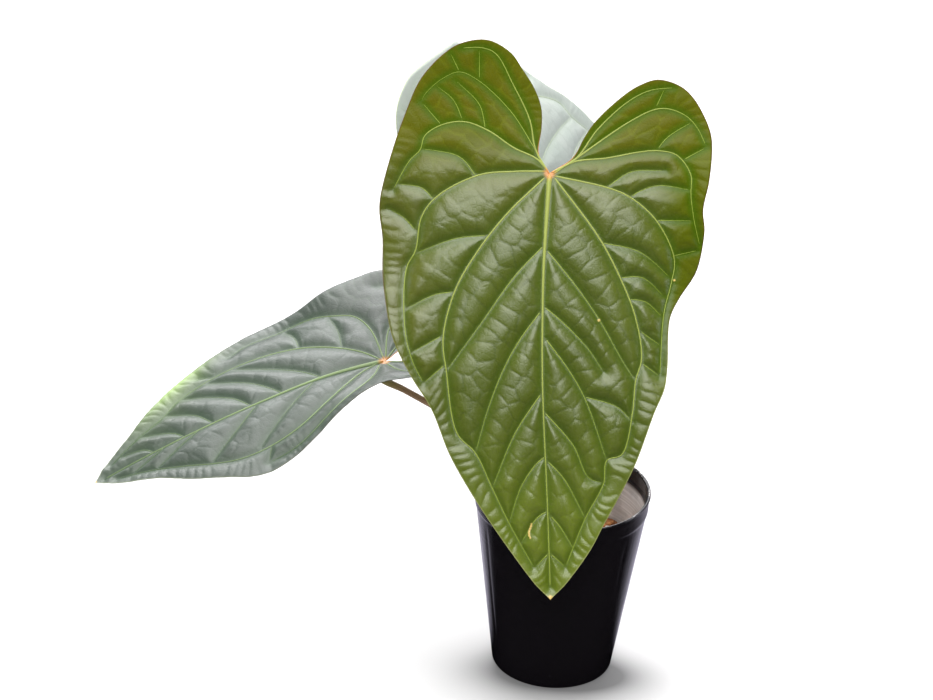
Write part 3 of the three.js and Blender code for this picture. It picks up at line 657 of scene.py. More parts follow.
FRONT_PLAN = {
    "length": FRONT_LENGTH,
    "midrib": [(0, 1), (-4, 60), (-5, 100), (-5, 140), (-2, 215), (0, 272)],
    "left": {
        "edge": [(0, 0), (-7, -13), (-5, -29), (-5, -42), (-9, -54), (-17, -67), (-25, -78), (-40, -86),
                 (-58, -84), (-70, -77), (-85, -61), (-95, -39), (-106, -7), (-112, 20), (-110, 42),
                 (-110, 64), (-108, 84), (-103, 109), (-91, 134), (-78, 155), (-66, 185), (-52, 210),
                 (-39, 230), (-25, 250), (-10, 270), (0, 280)],
        "lobe_top": 8},
    "right": {
        "edge": [(0, 0), (15, -10), (23, -24), (30, -34), (46, -49), (58, -57), (71, -61), (86, -57),
                 (95, -49), (104, -33), (107, -21), (105, 5), (101, 24), (102, 39), (97, 64), (85, 83),
                 (79, 96), (77, 129), (75, 142), (68, 158), (55, 193), (34, 233), (26, 248), (10, 270),
                 (0, 280)],
        "lobe_top": 6},
    "veins": [
        [(0, 1), (-9, -15), (-13, -35), (-24, -58), (-35, -77), (-44, -81), (-58, -81)],
        [(-9, -15), (-25, -40), (-46, -60), (-59, -66), (-70, -62), (-80, -54), (-85, -47)],
        [(-1, -1), (-8, -9), (-24, -17), (-40, -28), (-56, -34), (-71, -32), (-82, -25), (-85, -16),
         (-92, -9), (-103, 10)],
        [(-2, -1), (-24, -1), (-46, 1), (-74, 15), (-84, 28), (-88, 50), (-94, 62), (-95, 103),
         (-90, 124), (-83, 138)],
        [(-3, 3), (-28, 27), (-47, 51), (-62, 77), (-70, 108), (-68, 130), (-61, 171), (-49, 184),
         (-38, 207), (-27, 230), (-11, 259)],
        [(-4, 48), (-23, 68), (-46, 100), (-68, 130)],
        [(-6, 91), (-20, 110), (-30, 128), (-40, 153), (-49, 184)],
        [(-6, 145), (-23, 171), (-38, 207)],
        [(-3, 186), (-9, 191), (-19, 206), (-27, 230)],
        [(-2, 222), (-9, 227), (-19, 243)],
        [(-1, 250), (-10, 259)],
        [(-46, -61), (-46, -81)],
        [(-59, -66), (-65, -78)],
        [(-57, -35), (-63, -48), (-75, -58)],
        [(-71, -32), (-84, -47)],
        [(-42, -29), (-46, -45), (-62, -61)],
        [(-48, 2), (-59, -11), (-85, -17)],
        [(-76, 17), (-84, 9), (-100, 6)],
        [(-88, 37), (-96, 28), (-106, 22)],
        [(-41, 41), (-62, 43), (-88, 52)],
        [(-63, 78), (-76, 80), (-94, 89)],
        [(-71, 107), (-91, 118)],
        [(-69, 126), (-83, 138)],
        [(1, 0), (17, -9), (32, -29), (52, -47), (66, -54), (82, -56)],
        [(11, -5), (53, -34), (70, -42), (80, -42), (91, -37), (98, -29), (103, -18)],
        [(2, 1), (15, -7), (38, -10), (59, -14), (71, -15), (84, -12), (93, 1), (93, 14), (95, 30),
         (99, 47)],
        [(3, 2), (39, 10), (53, 16), (70, 31), (82, 56), (80, 72), (75, 92), (72, 133)],
        [(3, 3), (33, 44), (46, 69), (56, 95), (60, 122), (56, 137), (54, 157), (47, 185), (37, 189),
         (35, 204), (23, 227), (10, 259)],
        [(-2, 51), (18, 76), (33, 98), (47, 123), (56, 137)],
        [(-4, 88), (10, 100), (25, 116), (35, 131)],
        [(-3, 109), (13, 131), (23, 149), (37, 189)],
        [(-4, 157), (15, 179), (25, 200), (35, 204)],
        [(-2, 189), (9, 201), (23, 227)],
        [(0, 225), (6, 232), (16, 248)],
        [(0, 250), (10, 259)],
        [(70, -43), (76, -56)],
        [(71, -16), (78, -24), (94, -34)],
        [(88, -9), (103, -17)],
        [(53, 16), (59, 12), (72, 8), (93, 11)],
        [(70, 31), (95, 31)],
        [(81, 54), (98, 50)],
        [(38, 9), (54, -1), (76, -2)],
        [(34, 46), (59, 52), (80, 69)],
        [(46, 69), (61, 69), (75, 81)],
        [(52, 83), (63, 85), (74, 95)],
        [(59, 104), (73, 114)],
        [(60, 125), (72, 134)],
        [(22, 147), (44, 154), (54, 164)],
    ],
}

LEFT_PLAN = {
    "length": LEFT_LENGTH,
    "midrib": [(0, 1), (-2, 40), (0, 90), (1, 150), (0, 206)],
    "left": {
        "edge": [(0, 0), (-5, -12), (-6, -26), (-11, -43), (-24, -57), (-42, -63), (-60, -57),
                 (-73, -43), (-83, -18), (-81, 8), (-80, 36), (-82, 62), (-76, 86), (-66, 113), (-57, 133),
                 (-42, 159), (-25, 181), (-10, 203), (0, 213)],
        "lobe_top": 5},
    "right": {
        "edge": [(0, 0), (6, -14), (8, -30), (16, -46), (30, -55), (44, -48), (49, -32), (47, -14),
                 (45, 8), (46, 28), (50, 50), (57, 72), (61, 92), (60, 111), (51, 132), (41, 151), (27, 171),
                 (12, 198), (0, 213)],
        "lobe_top": 4},
    "veins": [
        [(-1, -1), (-14, -16), (-22, -34), (-36, -50), (-50, -51)],
        [(-2, -1), (-28, -11), (-44, -28), (-58, -38), (-66, -30), (-70, -14)],
        [(-2, 0), (-33, 1), (-50, 8), (-58, 21), (-66, 37), (-70, 56), (-68, 84), (-62, 98)],
        [(-2, 2), (-14, 12), (-26, 27), (-40, 52), (-46, 75), (-46, 108), (-37, 142), (-28, 155),
         (-20, 176), (-9, 199)],
        [(-24, 24), (-41, 22), (-58, 24)],
        [(-40, 51), (-52, 51), (-68, 56)],
        [(-2, 44), (-14, 55), (-30, 76), (-46, 100)],
        [(0, 72), (-22, 90), (-43, 120)],
        [(-1, 96), (-14, 105), (-26, 120), (-38, 140)],
        [(0, 124), (-14, 133), (-29, 154)],
        [(1, 145), (-8, 152), (-20, 174)],
        [(1, 168), (-6, 174), (-12, 193)],
        [(-52, 124), (-45, 112)],
        [(0, 3), (5, 16), (24, 44), (36, 68), (41, 92), (41, 116), (36, 132), (26, 152), (15, 175),
         (6, 198)],
        [(2, 4), (16, 12), (28, 24), (40, 48), (50, 74), (52, 98)],
        [(2, 0), (20, -6), (34, -14), (38, -2)],
        [(1, -1), (14, -22), (26, -38), (38, -38)],
        [(-1, 50), (15, 71), (39, 99)],
        [(1, 92), (13, 106), (35, 134)],
        [(1, 134), (7, 149), (17, 170)],
        [(1, 160), (5, 172), (10, 187)],
        [(41, 92), (52, 98)],
    ],
}


def mirrored_plan(plan, length):
    """Turns a plan over about its midrib and scales it to another length."""
    scale = length / plan["length"]

    def turn(points):
        return [(-u * scale, v * scale) for u, v in points]

    def half(side):
        return {**side, "edge": turn(side["edge"])}

    return {"length": length, "midrib": turn(plan["midrib"]), "left": half(plan["right"]),
            "right": half(plan["left"]), "veins": [turn(vein) for vein in plan["veins"]]}


# How each blade is held: its sinus, the way to the tip, the way the face looks, and how it bends.
# droop is the midrib's bend per millimetre, recurve drops both sides, curl brings the lobes forward,
# and a fold lifts a side near the sinus. A swell is u, v, radius in u, radius in v and height. Then
# come the mesh's steps along and across each half, the share of the relief, whether the margin
# carries a painted yellow-green backlight, and the scars, each u, v and radius.
FOLD_LENGTH = 60
LEAVES = {
    "front": {
        "plan": FRONT_PLAN, "seat": (-21.6, 30, 354.2), "to_tip": (0.054, -0.538, -0.841),
        "face": (0, -0.842, 0.539), "droop": 0.0007, "recurve": 0.001, "curl": 0.0022,
        "folds": (-0.04, -0.04),
        "swells": [(100, 82, 22, 30, -11), (108, 10, 20, 26, 5), (-112, 40, 22, 34, -5),
                   (-104, 120, 24, 30, 5), (70, 165, 24, 26, 4)],
        "columns": 380, "rows": 88, "relief": 1, "painted_backlight": 0,
        "scars": [(32, 97, 1.1), (82, 70, 1), (-12.3, 230.5, 0.7), (-12.6, 232, 0.8), (-13.2, 233.5, 0.8),
                  (-13.8, 235, 0.8), (-14, 236.5, 0.8), (-13.8, 238, 0.8), (-13.2, 239.5, 0.7), (0, 279, 2)]},
    "left": {
        "plan": LEFT_PLAN, "seat": (-124.8, 36, 205.7), "to_tip": (-0.94, -0.276, -0.201),
        "face": (-0.134, -0.242, 0.961), "droop": 0.0018, "recurve": 0.0016, "curl": 0,
        "folds": (0.11, 0.32),
        "swells": [(52, 18, 24, 34, 12), (-78, 58, 18, 22, -3), (-82, 18, 18, 20, 4), (58, 96, 16, 22, -3)],
        "columns": 280, "rows": 70, "relief": 0.8, "painted_backlight": 1, "scars": [(0, 213, 1.5)]},
    "back": {
        "plan": mirrored_plan(FRONT_PLAN, BACK_LENGTH), "seat": (-69.6, 95, 310.8),
        "to_tip": (0.556, 0.792, -0.254), "face": (0.799, -0.422, 0.43), "droop": 0.0011,
        "recurve": 0.0024, "curl": 0, "folds": (0, 0),
        "swells": [(-98, 30, 22, 30, -6), (98, 10, 22, 24, 5), (-90, 110, 24, 26, 5)],
        "columns": 230, "rows": 56, "relief": 0.6, "painted_backlight": 0, "scars": []},
}


def blade_point(leaf, u, v, lift=0.0):
    """The bent blade without its quilting, raised by lift along the face. The plan is laid out from
    the seat by to_tip and across, bent along a circle by droop, and its height over that is the fold
    less recurve u^2, plus curl v^2 on the lobes and the swells, each rise exp(-(du/ru)^2 - (dv/rv)^2)."""
    to_tip = unit(np.array(leaf["to_tip"], float))
    face = np.array(leaf["face"], float)
    face = unit(face - (face @ to_tip) * to_tip)
    across = np.cross(face, to_tip)
    fold = np.where(u < 0, *leaf["folds"]) * np.exp(-(np.maximum(v + 20, 0) / FOLD_LENGTH) ** 2)
    height = fold * (np.hypot(u, 5) - 5) - leaf["recurve"] * u ** 2 * np.clip((v + 20) / 80, 0, 1)
    height = height + leaf["curl"] * np.minimum(v, 0) ** 2
    for at_u, at_v, over_u, over_v, rise in leaf["swells"]:
        height = height + rise * np.exp(-((u - at_u) / over_u) ** 2 - ((v - at_v) / over_v) ** 2)
    bend = leaf["droop"] * np.maximum(v, 0)
    forward = np.where(v > 0, np.sin(bend) / leaf["droop"], v)
    down = (1 - np.cos(bend)) / leaf["droop"]
    normal = face * np.cos(bend)[..., None] + to_tip * np.sin(bend)[..., None]
    return (np.array(leaf["seat"]) + forward[..., None] * to_tip - down[..., None] * face
            + u[..., None] * across + (height + lift)[..., None] * normal)


def blade_normal(leaf, u, v):
    """The bent blade's normal, from steps of half a millimetre to each side."""
    along_u = blade_point(leaf, u + 0.5, v) - blade_point(leaf, u - 0.5, v)
    along_v = blade_point(leaf, u, v + 0.5) - blade_point(leaf, u, v - 0.5)
    return unit(np.cross(along_v, along_u))


# The petioles are round, firm leaf stalks. Each stands in a socket of the stem and ends in a thicker
# joint, the pulvinus, which meets its blade squarely under the sinus and turns it to the light.
PETIOLE_SEAT = 4.5
SEAT_DEPTH = 0.6
JOINT_LENGTH = 13
PETIOLES = {
    "front": ([(2, -4, 96), (4, 1, 125), (4, 14, 190), (-3, 33, 264), (-14, 46, 322)],
              [3.6, 3, 2.5, 2.3, 2.3, 2.9, 2.9]),
    "left": ([(-5, 1, 95), (-13, 4, 119), (-36, 11, 148), (-74, 22, 171), (-110, 33, 186)],
             [3.4, 2.9, 2.4, 2.2, 2.2, 2.7, 2.7]),
    "back": ([(4, 5, 95), (0, 18, 130), (-26, 55, 180), (-63, 83, 228), (-84, 95, 276)],
             [3.5, 2.9, 2.4, 2.2, 2.2, 2.8, 2.8]),
}


def petiole_ripple(along, angle):
    """A faint groove down the petiole and very slight flattening between two low ridges."""
    return 0.035 * np.cos(2 * angle) - 0.03 * np.exp(-((angle - np.pi) / 0.5) ** 2)


def petiole_tissue():
    """Mauve-brown over olive: greener towards the joint and at its foot, with fine lengthwise streaks."""
    material, tree, shader = new_material("petiole_tissue", Roughness=0.38, Specular_IOR_Level=0.45)
    plan = add_node(tree, "UVMap", uv_map="skin").outputs[0]
    along = parts_of(tree, plan)["X"]
    streaks = noise(tree, stretched(tree, plan, (9, 40, 1)), 1, 4)
    streak = ramp(tree, streaks, 0.35, 0.65)
    brown = blended(tree, streak, (0.17, 0.085, 0.04), (0.34, 0.22, 0.12))
    olive = blended(tree, streak, (0.14, 0.12, 0.03), (0.30, 0.28, 0.08))
    colour = blended(tree, ramp(tree, along, 0.80, 0.95), brown, olive)
    colour = blended(tree, ramp(tree, along, 0.12, 0.0, 0.0, 0.8), colour, (0.22, 0.20, 0.07))
    tree.links.new(colour, shader.inputs["Base Color"])
    roughen(tree, shader, streaks, 0.2, 0.0004)
    return material


def add_uv(piece, name, places):
    """Keeps a flat place for each vertex as the piece's own UV map."""
    layer = piece.data.uv_layers.new(name=name)
    corners = np.empty(len(piece.data.loops), np.int32)
    piece.data.loops.foreach_get("vertex_index", corners)
    layer.data.foreach_set("uv", np.asarray(places, np.float32)[corners].ravel())


petiole_finish = petiole_tissue()
PETIOLE_SIDES = 28
for leaf_name, (petiole_path, petiole_radii) in PETIOLES.items():
    seat_u = np.zeros(2)
    seat_v = np.full(2, float(PETIOLE_SEAT))
    petiole_end = blade_point(LEAVES[leaf_name], seat_u, seat_v, np.array([-JOINT_LENGTH, -SEAT_DEPTH]))
    petiole_rings, petiole_along = tube_rings(
        petiole_path + petiole_end.tolist(), petiole_radii, PETIOLE_SIDES, 2.0, petiole_ripple)
    petiole = new_piece(f"leafstalk_{leaf_name}", *skinned(petiole_rings), petiole_finish)
    half_turns = np.abs(np.arange(PETIOLE_SIDES) / PETIOLE_SIDES - 0.5)
    skin = np.stack([petiole_along + 0 * half_turns, half_turns + 0 * petiole_along], -1).reshape(-1, 2)
    add_uv(petiole, "skin", np.concatenate([skin, [(0, 0.2), (1, 0.2)]]))
    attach(petiole, "root")
    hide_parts(f"petiole_{leaf_name}")

# A blade's relief: panels rise between the veins, small pillows rise in each panel between the finest
# veins, the margin is ribbed, and the veins are cords that stand out a little above and more below.
BLADE_THICKNESS = 1.1
PANEL_RISE = 5.2
PANEL_REACH = 6.5
LOBE_FLATNESS = 0.74
LOBE_LEVEL = -22
LOBE_SOFTNESS = 9
LOBE_SLANT = 0.25
LOBE_SLANT_FROM = 60
MARGIN_LEVEL = 10
VALLEY_ROUND = 0.4
PILLOW_LONG = 15
PILLOW_SHORT = 10.5
PILLOW_TURN = math.radians(50)
PILLOW_RISE = 0.36
PILLOW_FLATNESS = 0.45
CREASE_REACH = 2.0
MARGIN_RIB_PITCH = 7
MARGIN_RIB_RISE = 0.75
MARGIN_WIDTH = 14
EDGE_SHARE = 0.4
SHARE_ABOVE = 0.4
SCAR_RISE = 0.25
SLOW_WAVE = 17
SLOW_RISE = 0.17
FINE_WAVE = 5
FINE_RISE = 0.01
PILLOW_SWAY = 1.1
SWAY_WAVE = 26
RIB_WAVE = 28
CORD_SIDES = 8
CORD_STEP = 2.0


def distance_to_line(points, line):
    """The shortest way in the plan from each point to a run of straight stretches, and how far along
    the run it is met."""
    start = line[:-1]
    step = np.diff(line, axis=0)
    long = np.hypot(*step.T)
    run = np.concatenate([[0], np.cumsum(long)[:-1]])
    away = points[:, None] - start
    along = np.clip((away * step).sum(-1) / long ** 2, 0, 1)
    apart = np.linalg.norm(away - along[..., None] * step, axis=-1)
    best = apart.argmin(axis=1)
    row = np.arange(len(points))
    return apart[row, best], run[best] + along[row, best] * long[best]


def cell_edges(points, size, seed):
    """For cells round one random place in each square of a net, how far a point is from the nearest
    border between two cells, as the difference of its two shortest ways to such places."""
    square = np.floor(points / size).astype(int)
    found = []
    for du in (-1, 0, 1):
        for dv in (-1, 0, 1):
            corner = square + (du, dv)
            mixed = np.sin(corner[:, 0] * 127.1 + corner[:, 1] * 311.7 + seed) * 43758.5453
            other = np.sin(corner[:, 0] * 269.5 + corner[:, 1] * 183.3 + seed) * 24634.6345
            place = (corner + 0.15 + 0.7 * np.stack([mixed % 1, other % 1], -1)) * size
            found.append(np.linalg.norm(points - place, axis=1))
    nearest = np.sort(found, axis=0)
    return nearest[1] - nearest[0]


def random_waves(points, length, seed, count=14):
    """The mean of plane waves of about one length that run in random directions."""
    random = np.random.default_rng(seed)
    turn = random.uniform(0, 2 * np.pi, count)
    pace = 2 * np.pi / (length * random.uniform(0.75, 1.35, count))
    phase = points[:, :1] * pace * np.cos(turn) + points[:, 1:] * pace * np.sin(turn)
    return np.sin(phase + random.uniform(0, 2 * np.pi, count)).sum(axis=1) / math.sqrt(count)


def even_points(line, steps):
    """A fine line's points again at even steps."""
    run = run_along(line)
    even = np.linspace(0, run[-1], steps + 1)
    return np.stack([np.interp(even, run, line[:, 0]), np.interp(even, run, line[:, 1])], -1)


def half_grid(leaf, half):
    """One half of a blade as a four-sided grid of plan points. With t across from midrib to outer edge
    and s along to the tip, a point is (1 - t) midrib(s) + t edge(s), plus (1 - s) times what the sinus
    bends away from its own chord at t. So the first column is the sinus, out to the lobe's far end."""
    whole, passed = smooth_line(half["edge"], 0.8)
    sinus = even_points(whole[passed <= half["lobe_top"]], leaf["rows"])
    outer = even_points(whole[passed >= half["lobe_top"]], leaf["columns"])[:, None]
    midrib = np.concatenate([[(0, 0)], smooth_line(leaf["plan"]["midrib"], 1.0)[0]])
    midrib = even_points(midrib, leaf["columns"])[:, None]
    s = np.linspace(0, 1, leaf["columns"] + 1)[:, None, None]
    t = np.linspace(0, 1, leaf["rows"] + 1)[:, None]
    bent = sinus - (1 - t) * sinus[0] - t * sinus[-1]
    return (1 - t) * midrib + t * outer + (1 - s) * bent


def leaf_lines(leaf):
    """The midrib and veins as fine lines, and the two edges."""
    plan = leaf["plan"]
    veins = [smooth_line(vein, 2.0)[0] for vein in [plan["midrib"], *plan["veins"]]]
    edges = [smooth_line(plan[side]["edge"], 2.0)[0] for side in ("left", "right")]
    return veins, edges


def vein_width(vein, at):
    """A vein's width at a share of its length. The front and left midribs thin as they go from 4 mm, a
    vein that starts at the sinus is the widest of the others, the back leaf's midrib among them, then
    one that starts on the midrib, then the rest."""
    if abs(vein[0][0]) < 1 and vein[0][1] == 1 and vein[-1][1] > 150:
        return 0.8 + 3.2 * np.exp(-at * np.hypot(*(vein[-1] - vein[0])) / 70)
    if np.hypot(*vein[0]) < 14:
        return 1.5 - 0.95 * at
    if abs(vein[0][0]) < 8:
        return 0.9 - 0.5 * at
    return 0.75 - 0.35 * at


def blade_relief(points, veins, edges, seed):
    """Height over the bent blade, and the measures that the materials read. With D the blend of the
    distances d to all veins and edges, (sum of d^-4)^(-1/4), a panel rises by
    rise (1 - exp(-D / reach)). Each d is rounded off near zero, so that the valleys have a floor, and
    an edge counts as if it lay further out, so that the margin stays nearly level. Pillows rise by
    1 - exp(-(border / reach)^1.2), and along the margin their borders run square to the edge. Panels
    and pillows are flatter on the lobes, by a smooth step in v that sets in lower down near the outer
    edge. Two lengths of random waves are added away from the veins."""
    blend = np.zeros(len(points))
    vein_gap = np.full(len(points), 1e3)
    for vein in veins:
        gap, along = distance_to_line(points, vein)
        wide = vein_width(vein, along / np.hypot(*np.diff(vein, axis=0).T).sum())
        vein_gap = np.minimum(vein_gap, np.maximum(gap - wide / 2, 0))
        rounded = np.sqrt(np.maximum(gap - wide / 2, 0) ** 2 + VALLEY_ROUND ** 2) - VALLEY_ROUND
        blend += np.maximum(rounded, 0.2) ** -4
    edge_gap = np.full(len(points), 1e3)
    edge_along = np.zeros(len(points))
    for side, edge in enumerate(edges):
        gap, along = distance_to_line(points, edge)
        nearer = gap < edge_gap
        edge_gap = np.where(nearer, gap, edge_gap)
        edge_along = np.where(nearer, along + 1000 * side, edge_along)
        blend += (gap + MARGIN_LEVEL) ** -4
    panel = blend ** -0.25
    sway = [random_waves(points, SWAY_WAVE, seed), random_waves(points, SWAY_WAVE, seed + 1)]
    swayed = points + PILLOW_SWAY * np.stack(sway, -1)
    out, down = np.abs(swayed[:, 0]), swayed[:, 1]
    along = out * math.cos(PILLOW_TURN) + down * math.sin(PILLOW_TURN)
    across = down * math.cos(PILLOW_TURN) - out * math.sin(PILLOW_TURN)
    border = cell_edges(np.stack([along, across * PILLOW_SHORT / PILLOW_LONG], -1), PILLOW_SHORT,
                        seed + (points[:, 0] > 0))
    margin = np.exp(-(edge_gap / MARGIN_WIDTH) ** 6)
    turns = edge_along / MARGIN_RIB_PITCH + 0.4 * random_waves(points, RIB_WAVE, seed + 2)
    ribs = 1.7 * MARGIN_RIB_PITCH * np.abs(turns - np.round(turns))
    border = border + margin * (ribs - border)
    pillow = 1 - np.exp(-(border / CREASE_REACH) ** 1.2)
    inland = 1 - np.exp(-(vein_gap / 3) ** 2)
    slant = LOBE_SLANT * np.maximum(np.abs(points[:, 0]) - LOBE_SLANT_FROM, 0)
    lobes = 1 / (1 + np.exp((points[:, 1] - LOBE_LEVEL - slant) / LOBE_SOFTNESS))
    height = PANEL_RISE * (1 - LOBE_FLATNESS * lobes) * (1 - np.exp(-panel / PANEL_REACH))
    pillow_rise = (PILLOW_RISE + margin * (MARGIN_RIB_RISE - PILLOW_RISE)) * (1 - PILLOW_FLATNESS * lobes)
    height += pillow_rise * (pillow - 0.7) * inland * (1 - 0.7 * np.exp(-(edge_gap / 2) ** 2))
    height += inland * (SLOW_RISE * random_waves(points, SLOW_WAVE, seed + 3)
                        + FINE_RISE * random_waves(points, FINE_WAVE, seed + 4))
    return height, {"edge_gap": edge_gap, "vein_gap": vein_gap, "border": border}


def grid_triangles(columns, rows):
    """Both triangles of each square in a grid of points that are numbered column by column."""
    i, j = np.meshgrid(np.arange(columns - 1), np.arange(rows - 1), indexing="ij")
    a = (i * rows + j).ravel()
    return np.concatenate([np.stack([a, a + 1, a + rows + 1], -1), np.stack([a, a + rows + 1, a + rows], -1)])


def grid_brim(columns, rows):
    """The points along a grid's first column and then along the far end of all its columns."""
    return np.concatenate([np.arange(rows), np.arange(2, columns + 1) * rows - 1])


def blade_mesh(leaf, seed):
    """A closed blade, thinning to its edge. The face below has every second point of the face above
    each way, and three triangles join each of its brim's steps to two steps above. Points that the
    two halves share in the plan are one point, and triangles that both halves make, which lie in the
    line beyond the midrib's end, are left out."""
    veins, edges = leaf_lines(leaf)
    halves = [half_grid(leaf, leaf["plan"][side]) for side in ("left", "right")]
    columns, rows = halves[0].shape[:2]
    few_columns, few_rows = columns // 2 + 1, rows // 2 + 1
    plan = np.concatenate([half.reshape(-1, 2) for half in halves])
    second = np.arange(len(plan)).reshape(2, columns, rows)[:, ::2, ::2].ravel()
    height, measures = blade_relief(plan, veins, edges, seed)
    height *= leaf["relief"]
    measures["scar"] = np.zeros(len(plan))
    for at_u, at_v, size in leaf["scars"]:
        measures["scar"] += np.exp(-((plan - (at_u, at_v)) ** 2).sum(axis=1) / size ** 2)
    thin = BLADE_THICKNESS * (EDGE_SHARE + (1 - EDGE_SHARE) * (1 - np.exp(-measures["edge_gap"] / 2.5)))
    normal = blade_normal(leaf, *plan.T)
    middle = blade_point(leaf, *plan.T, height + SCAR_RISE * np.minimum(measures["scar"], 1))
    upper = middle + normal * (SHARE_ABOVE * thin)[:, None]
    lower = middle - normal * ((1 - SHARE_ABOVE) * thin)[:, None]
    faces = []
    for side, way in enumerate((1, -1)):
        start = side * columns * rows
        start_below = len(plan) + side * few_columns * few_rows
        above = grid_brim(columns, rows) + start
        below = grid_brim(few_columns, few_rows) + start_below
        faces += [part[:, ::way] for part in (
            grid_triangles(columns, rows) + start,
            grid_triangles(few_columns, few_rows)[:, ::-1] + start_below,
            np.stack([above[:-2:2], below[:-1], below[1:]], -1),
            np.stack([above[:-2:2], below[1:], above[1:-1:2]], -1),
            np.stack([above[1:-1:2], below[1:], above[2::2]], -1))]
    source = np.concatenate([np.arange(len(plan)), second])
    under = np.arange(len(source)) >= len(plan)
    keys = np.column_stack([np.round(plan[source] * 1e4).astype(np.int64), under])
    _, kept, merged = np.unique(keys, axis=0, return_index=True, return_inverse=True)
    faces = merged.ravel()[np.concatenate(faces)]
    faces = faces[(faces[:, 0] != faces[:, 1]) & (faces[:, 1] != faces[:, 2]) & (faces[:, 2] != faces[:, 0])]
    _, alike, count = np.unique(np.sort(faces, axis=1), axis=0, return_inverse=True, return_counts=True)
    used, faces = np.unique(faces[count[alike.ravel()] == 1], return_inverse=True)
    kept = kept[used]
    points = np.concatenate([upper, lower[second]])[kept]
    measures = {name: values[source][kept] for name, values in measures.items()}
    measures["under"] = under[kept].astype(float)
    u, v = plan[source][kept].T
    # Painted light: the left blade's margin gets a yellow-green patch for light shining through it.
    measures["painted_backlight"] = leaf["painted_backlight"] * (u < 0) * np.exp(-measures["edge_gap"] / 7 - ((v - 140) / 27) ** 2)
    return points, faces.reshape(-1, 3).tolist(), plan[source][kept], measures


def vein_cords(leaf, seed):
    """Every vein as a closed cord that follows the blade, w wide. A ring is (w/2) cos a to the side,
    and (0.34 w + 0.42) sin a above the valley's floor or (0.62 w + 0.45) sin a below it. The ends
    are drawn in."""
    veins, edges = leaf_lines(leaf)
    parts = []
    plans = []
    sizes = []
    angle = 2 * np.pi * np.arange(CORD_SIDES) / CORD_SIDES
    for number, vein in enumerate([leaf["plan"]["midrib"], *leaf["plan"]["veins"]]):
        line, _ = smooth_line(vein, CORD_STEP)
        share = np.linspace(0, 1, len(line))
        wide = vein_width(veins[number], share)
        height = leaf["relief"] * blade_relief(line, veins, edges, seed)[0]
        centre = blade_point(leaf, *line.T, height)
        normal = blade_normal(leaf, *line.T)
        way = unit(np.gradient(centre, axis=0))
        side = unit(np.cross(normal, way))
        lift = np.cross(way, side)
        reach = np.where(np.sin(angle) > 0, 0.34, 0.62)[None] * wide[:, None]
        reach = reach + np.where(np.sin(angle) > 0, 0.42, 0.45)[None]
        end = np.minimum(1, np.minimum(share, 1 - share) * len(line) / 2 + 0.35)[:, None]
        out = (wide[:, None] / 2 * np.cos(angle) * end)[..., None] * side[:, None]
        out = out + (reach * np.sin(angle) * end)[..., None] * lift[:, None]
        parts.append(skinned((centre[:, None] + out)[None]))
        plans.append(np.concatenate([np.repeat(line, len(angle), axis=0), line[[0, -1]]]))
        sizes.append(np.concatenate([np.repeat(wide, len(angle)), wide[[0, -1]]]))
    points, faces = joined(parts)
    return points, faces, np.concatenate(plans), np.concatenate(sizes)


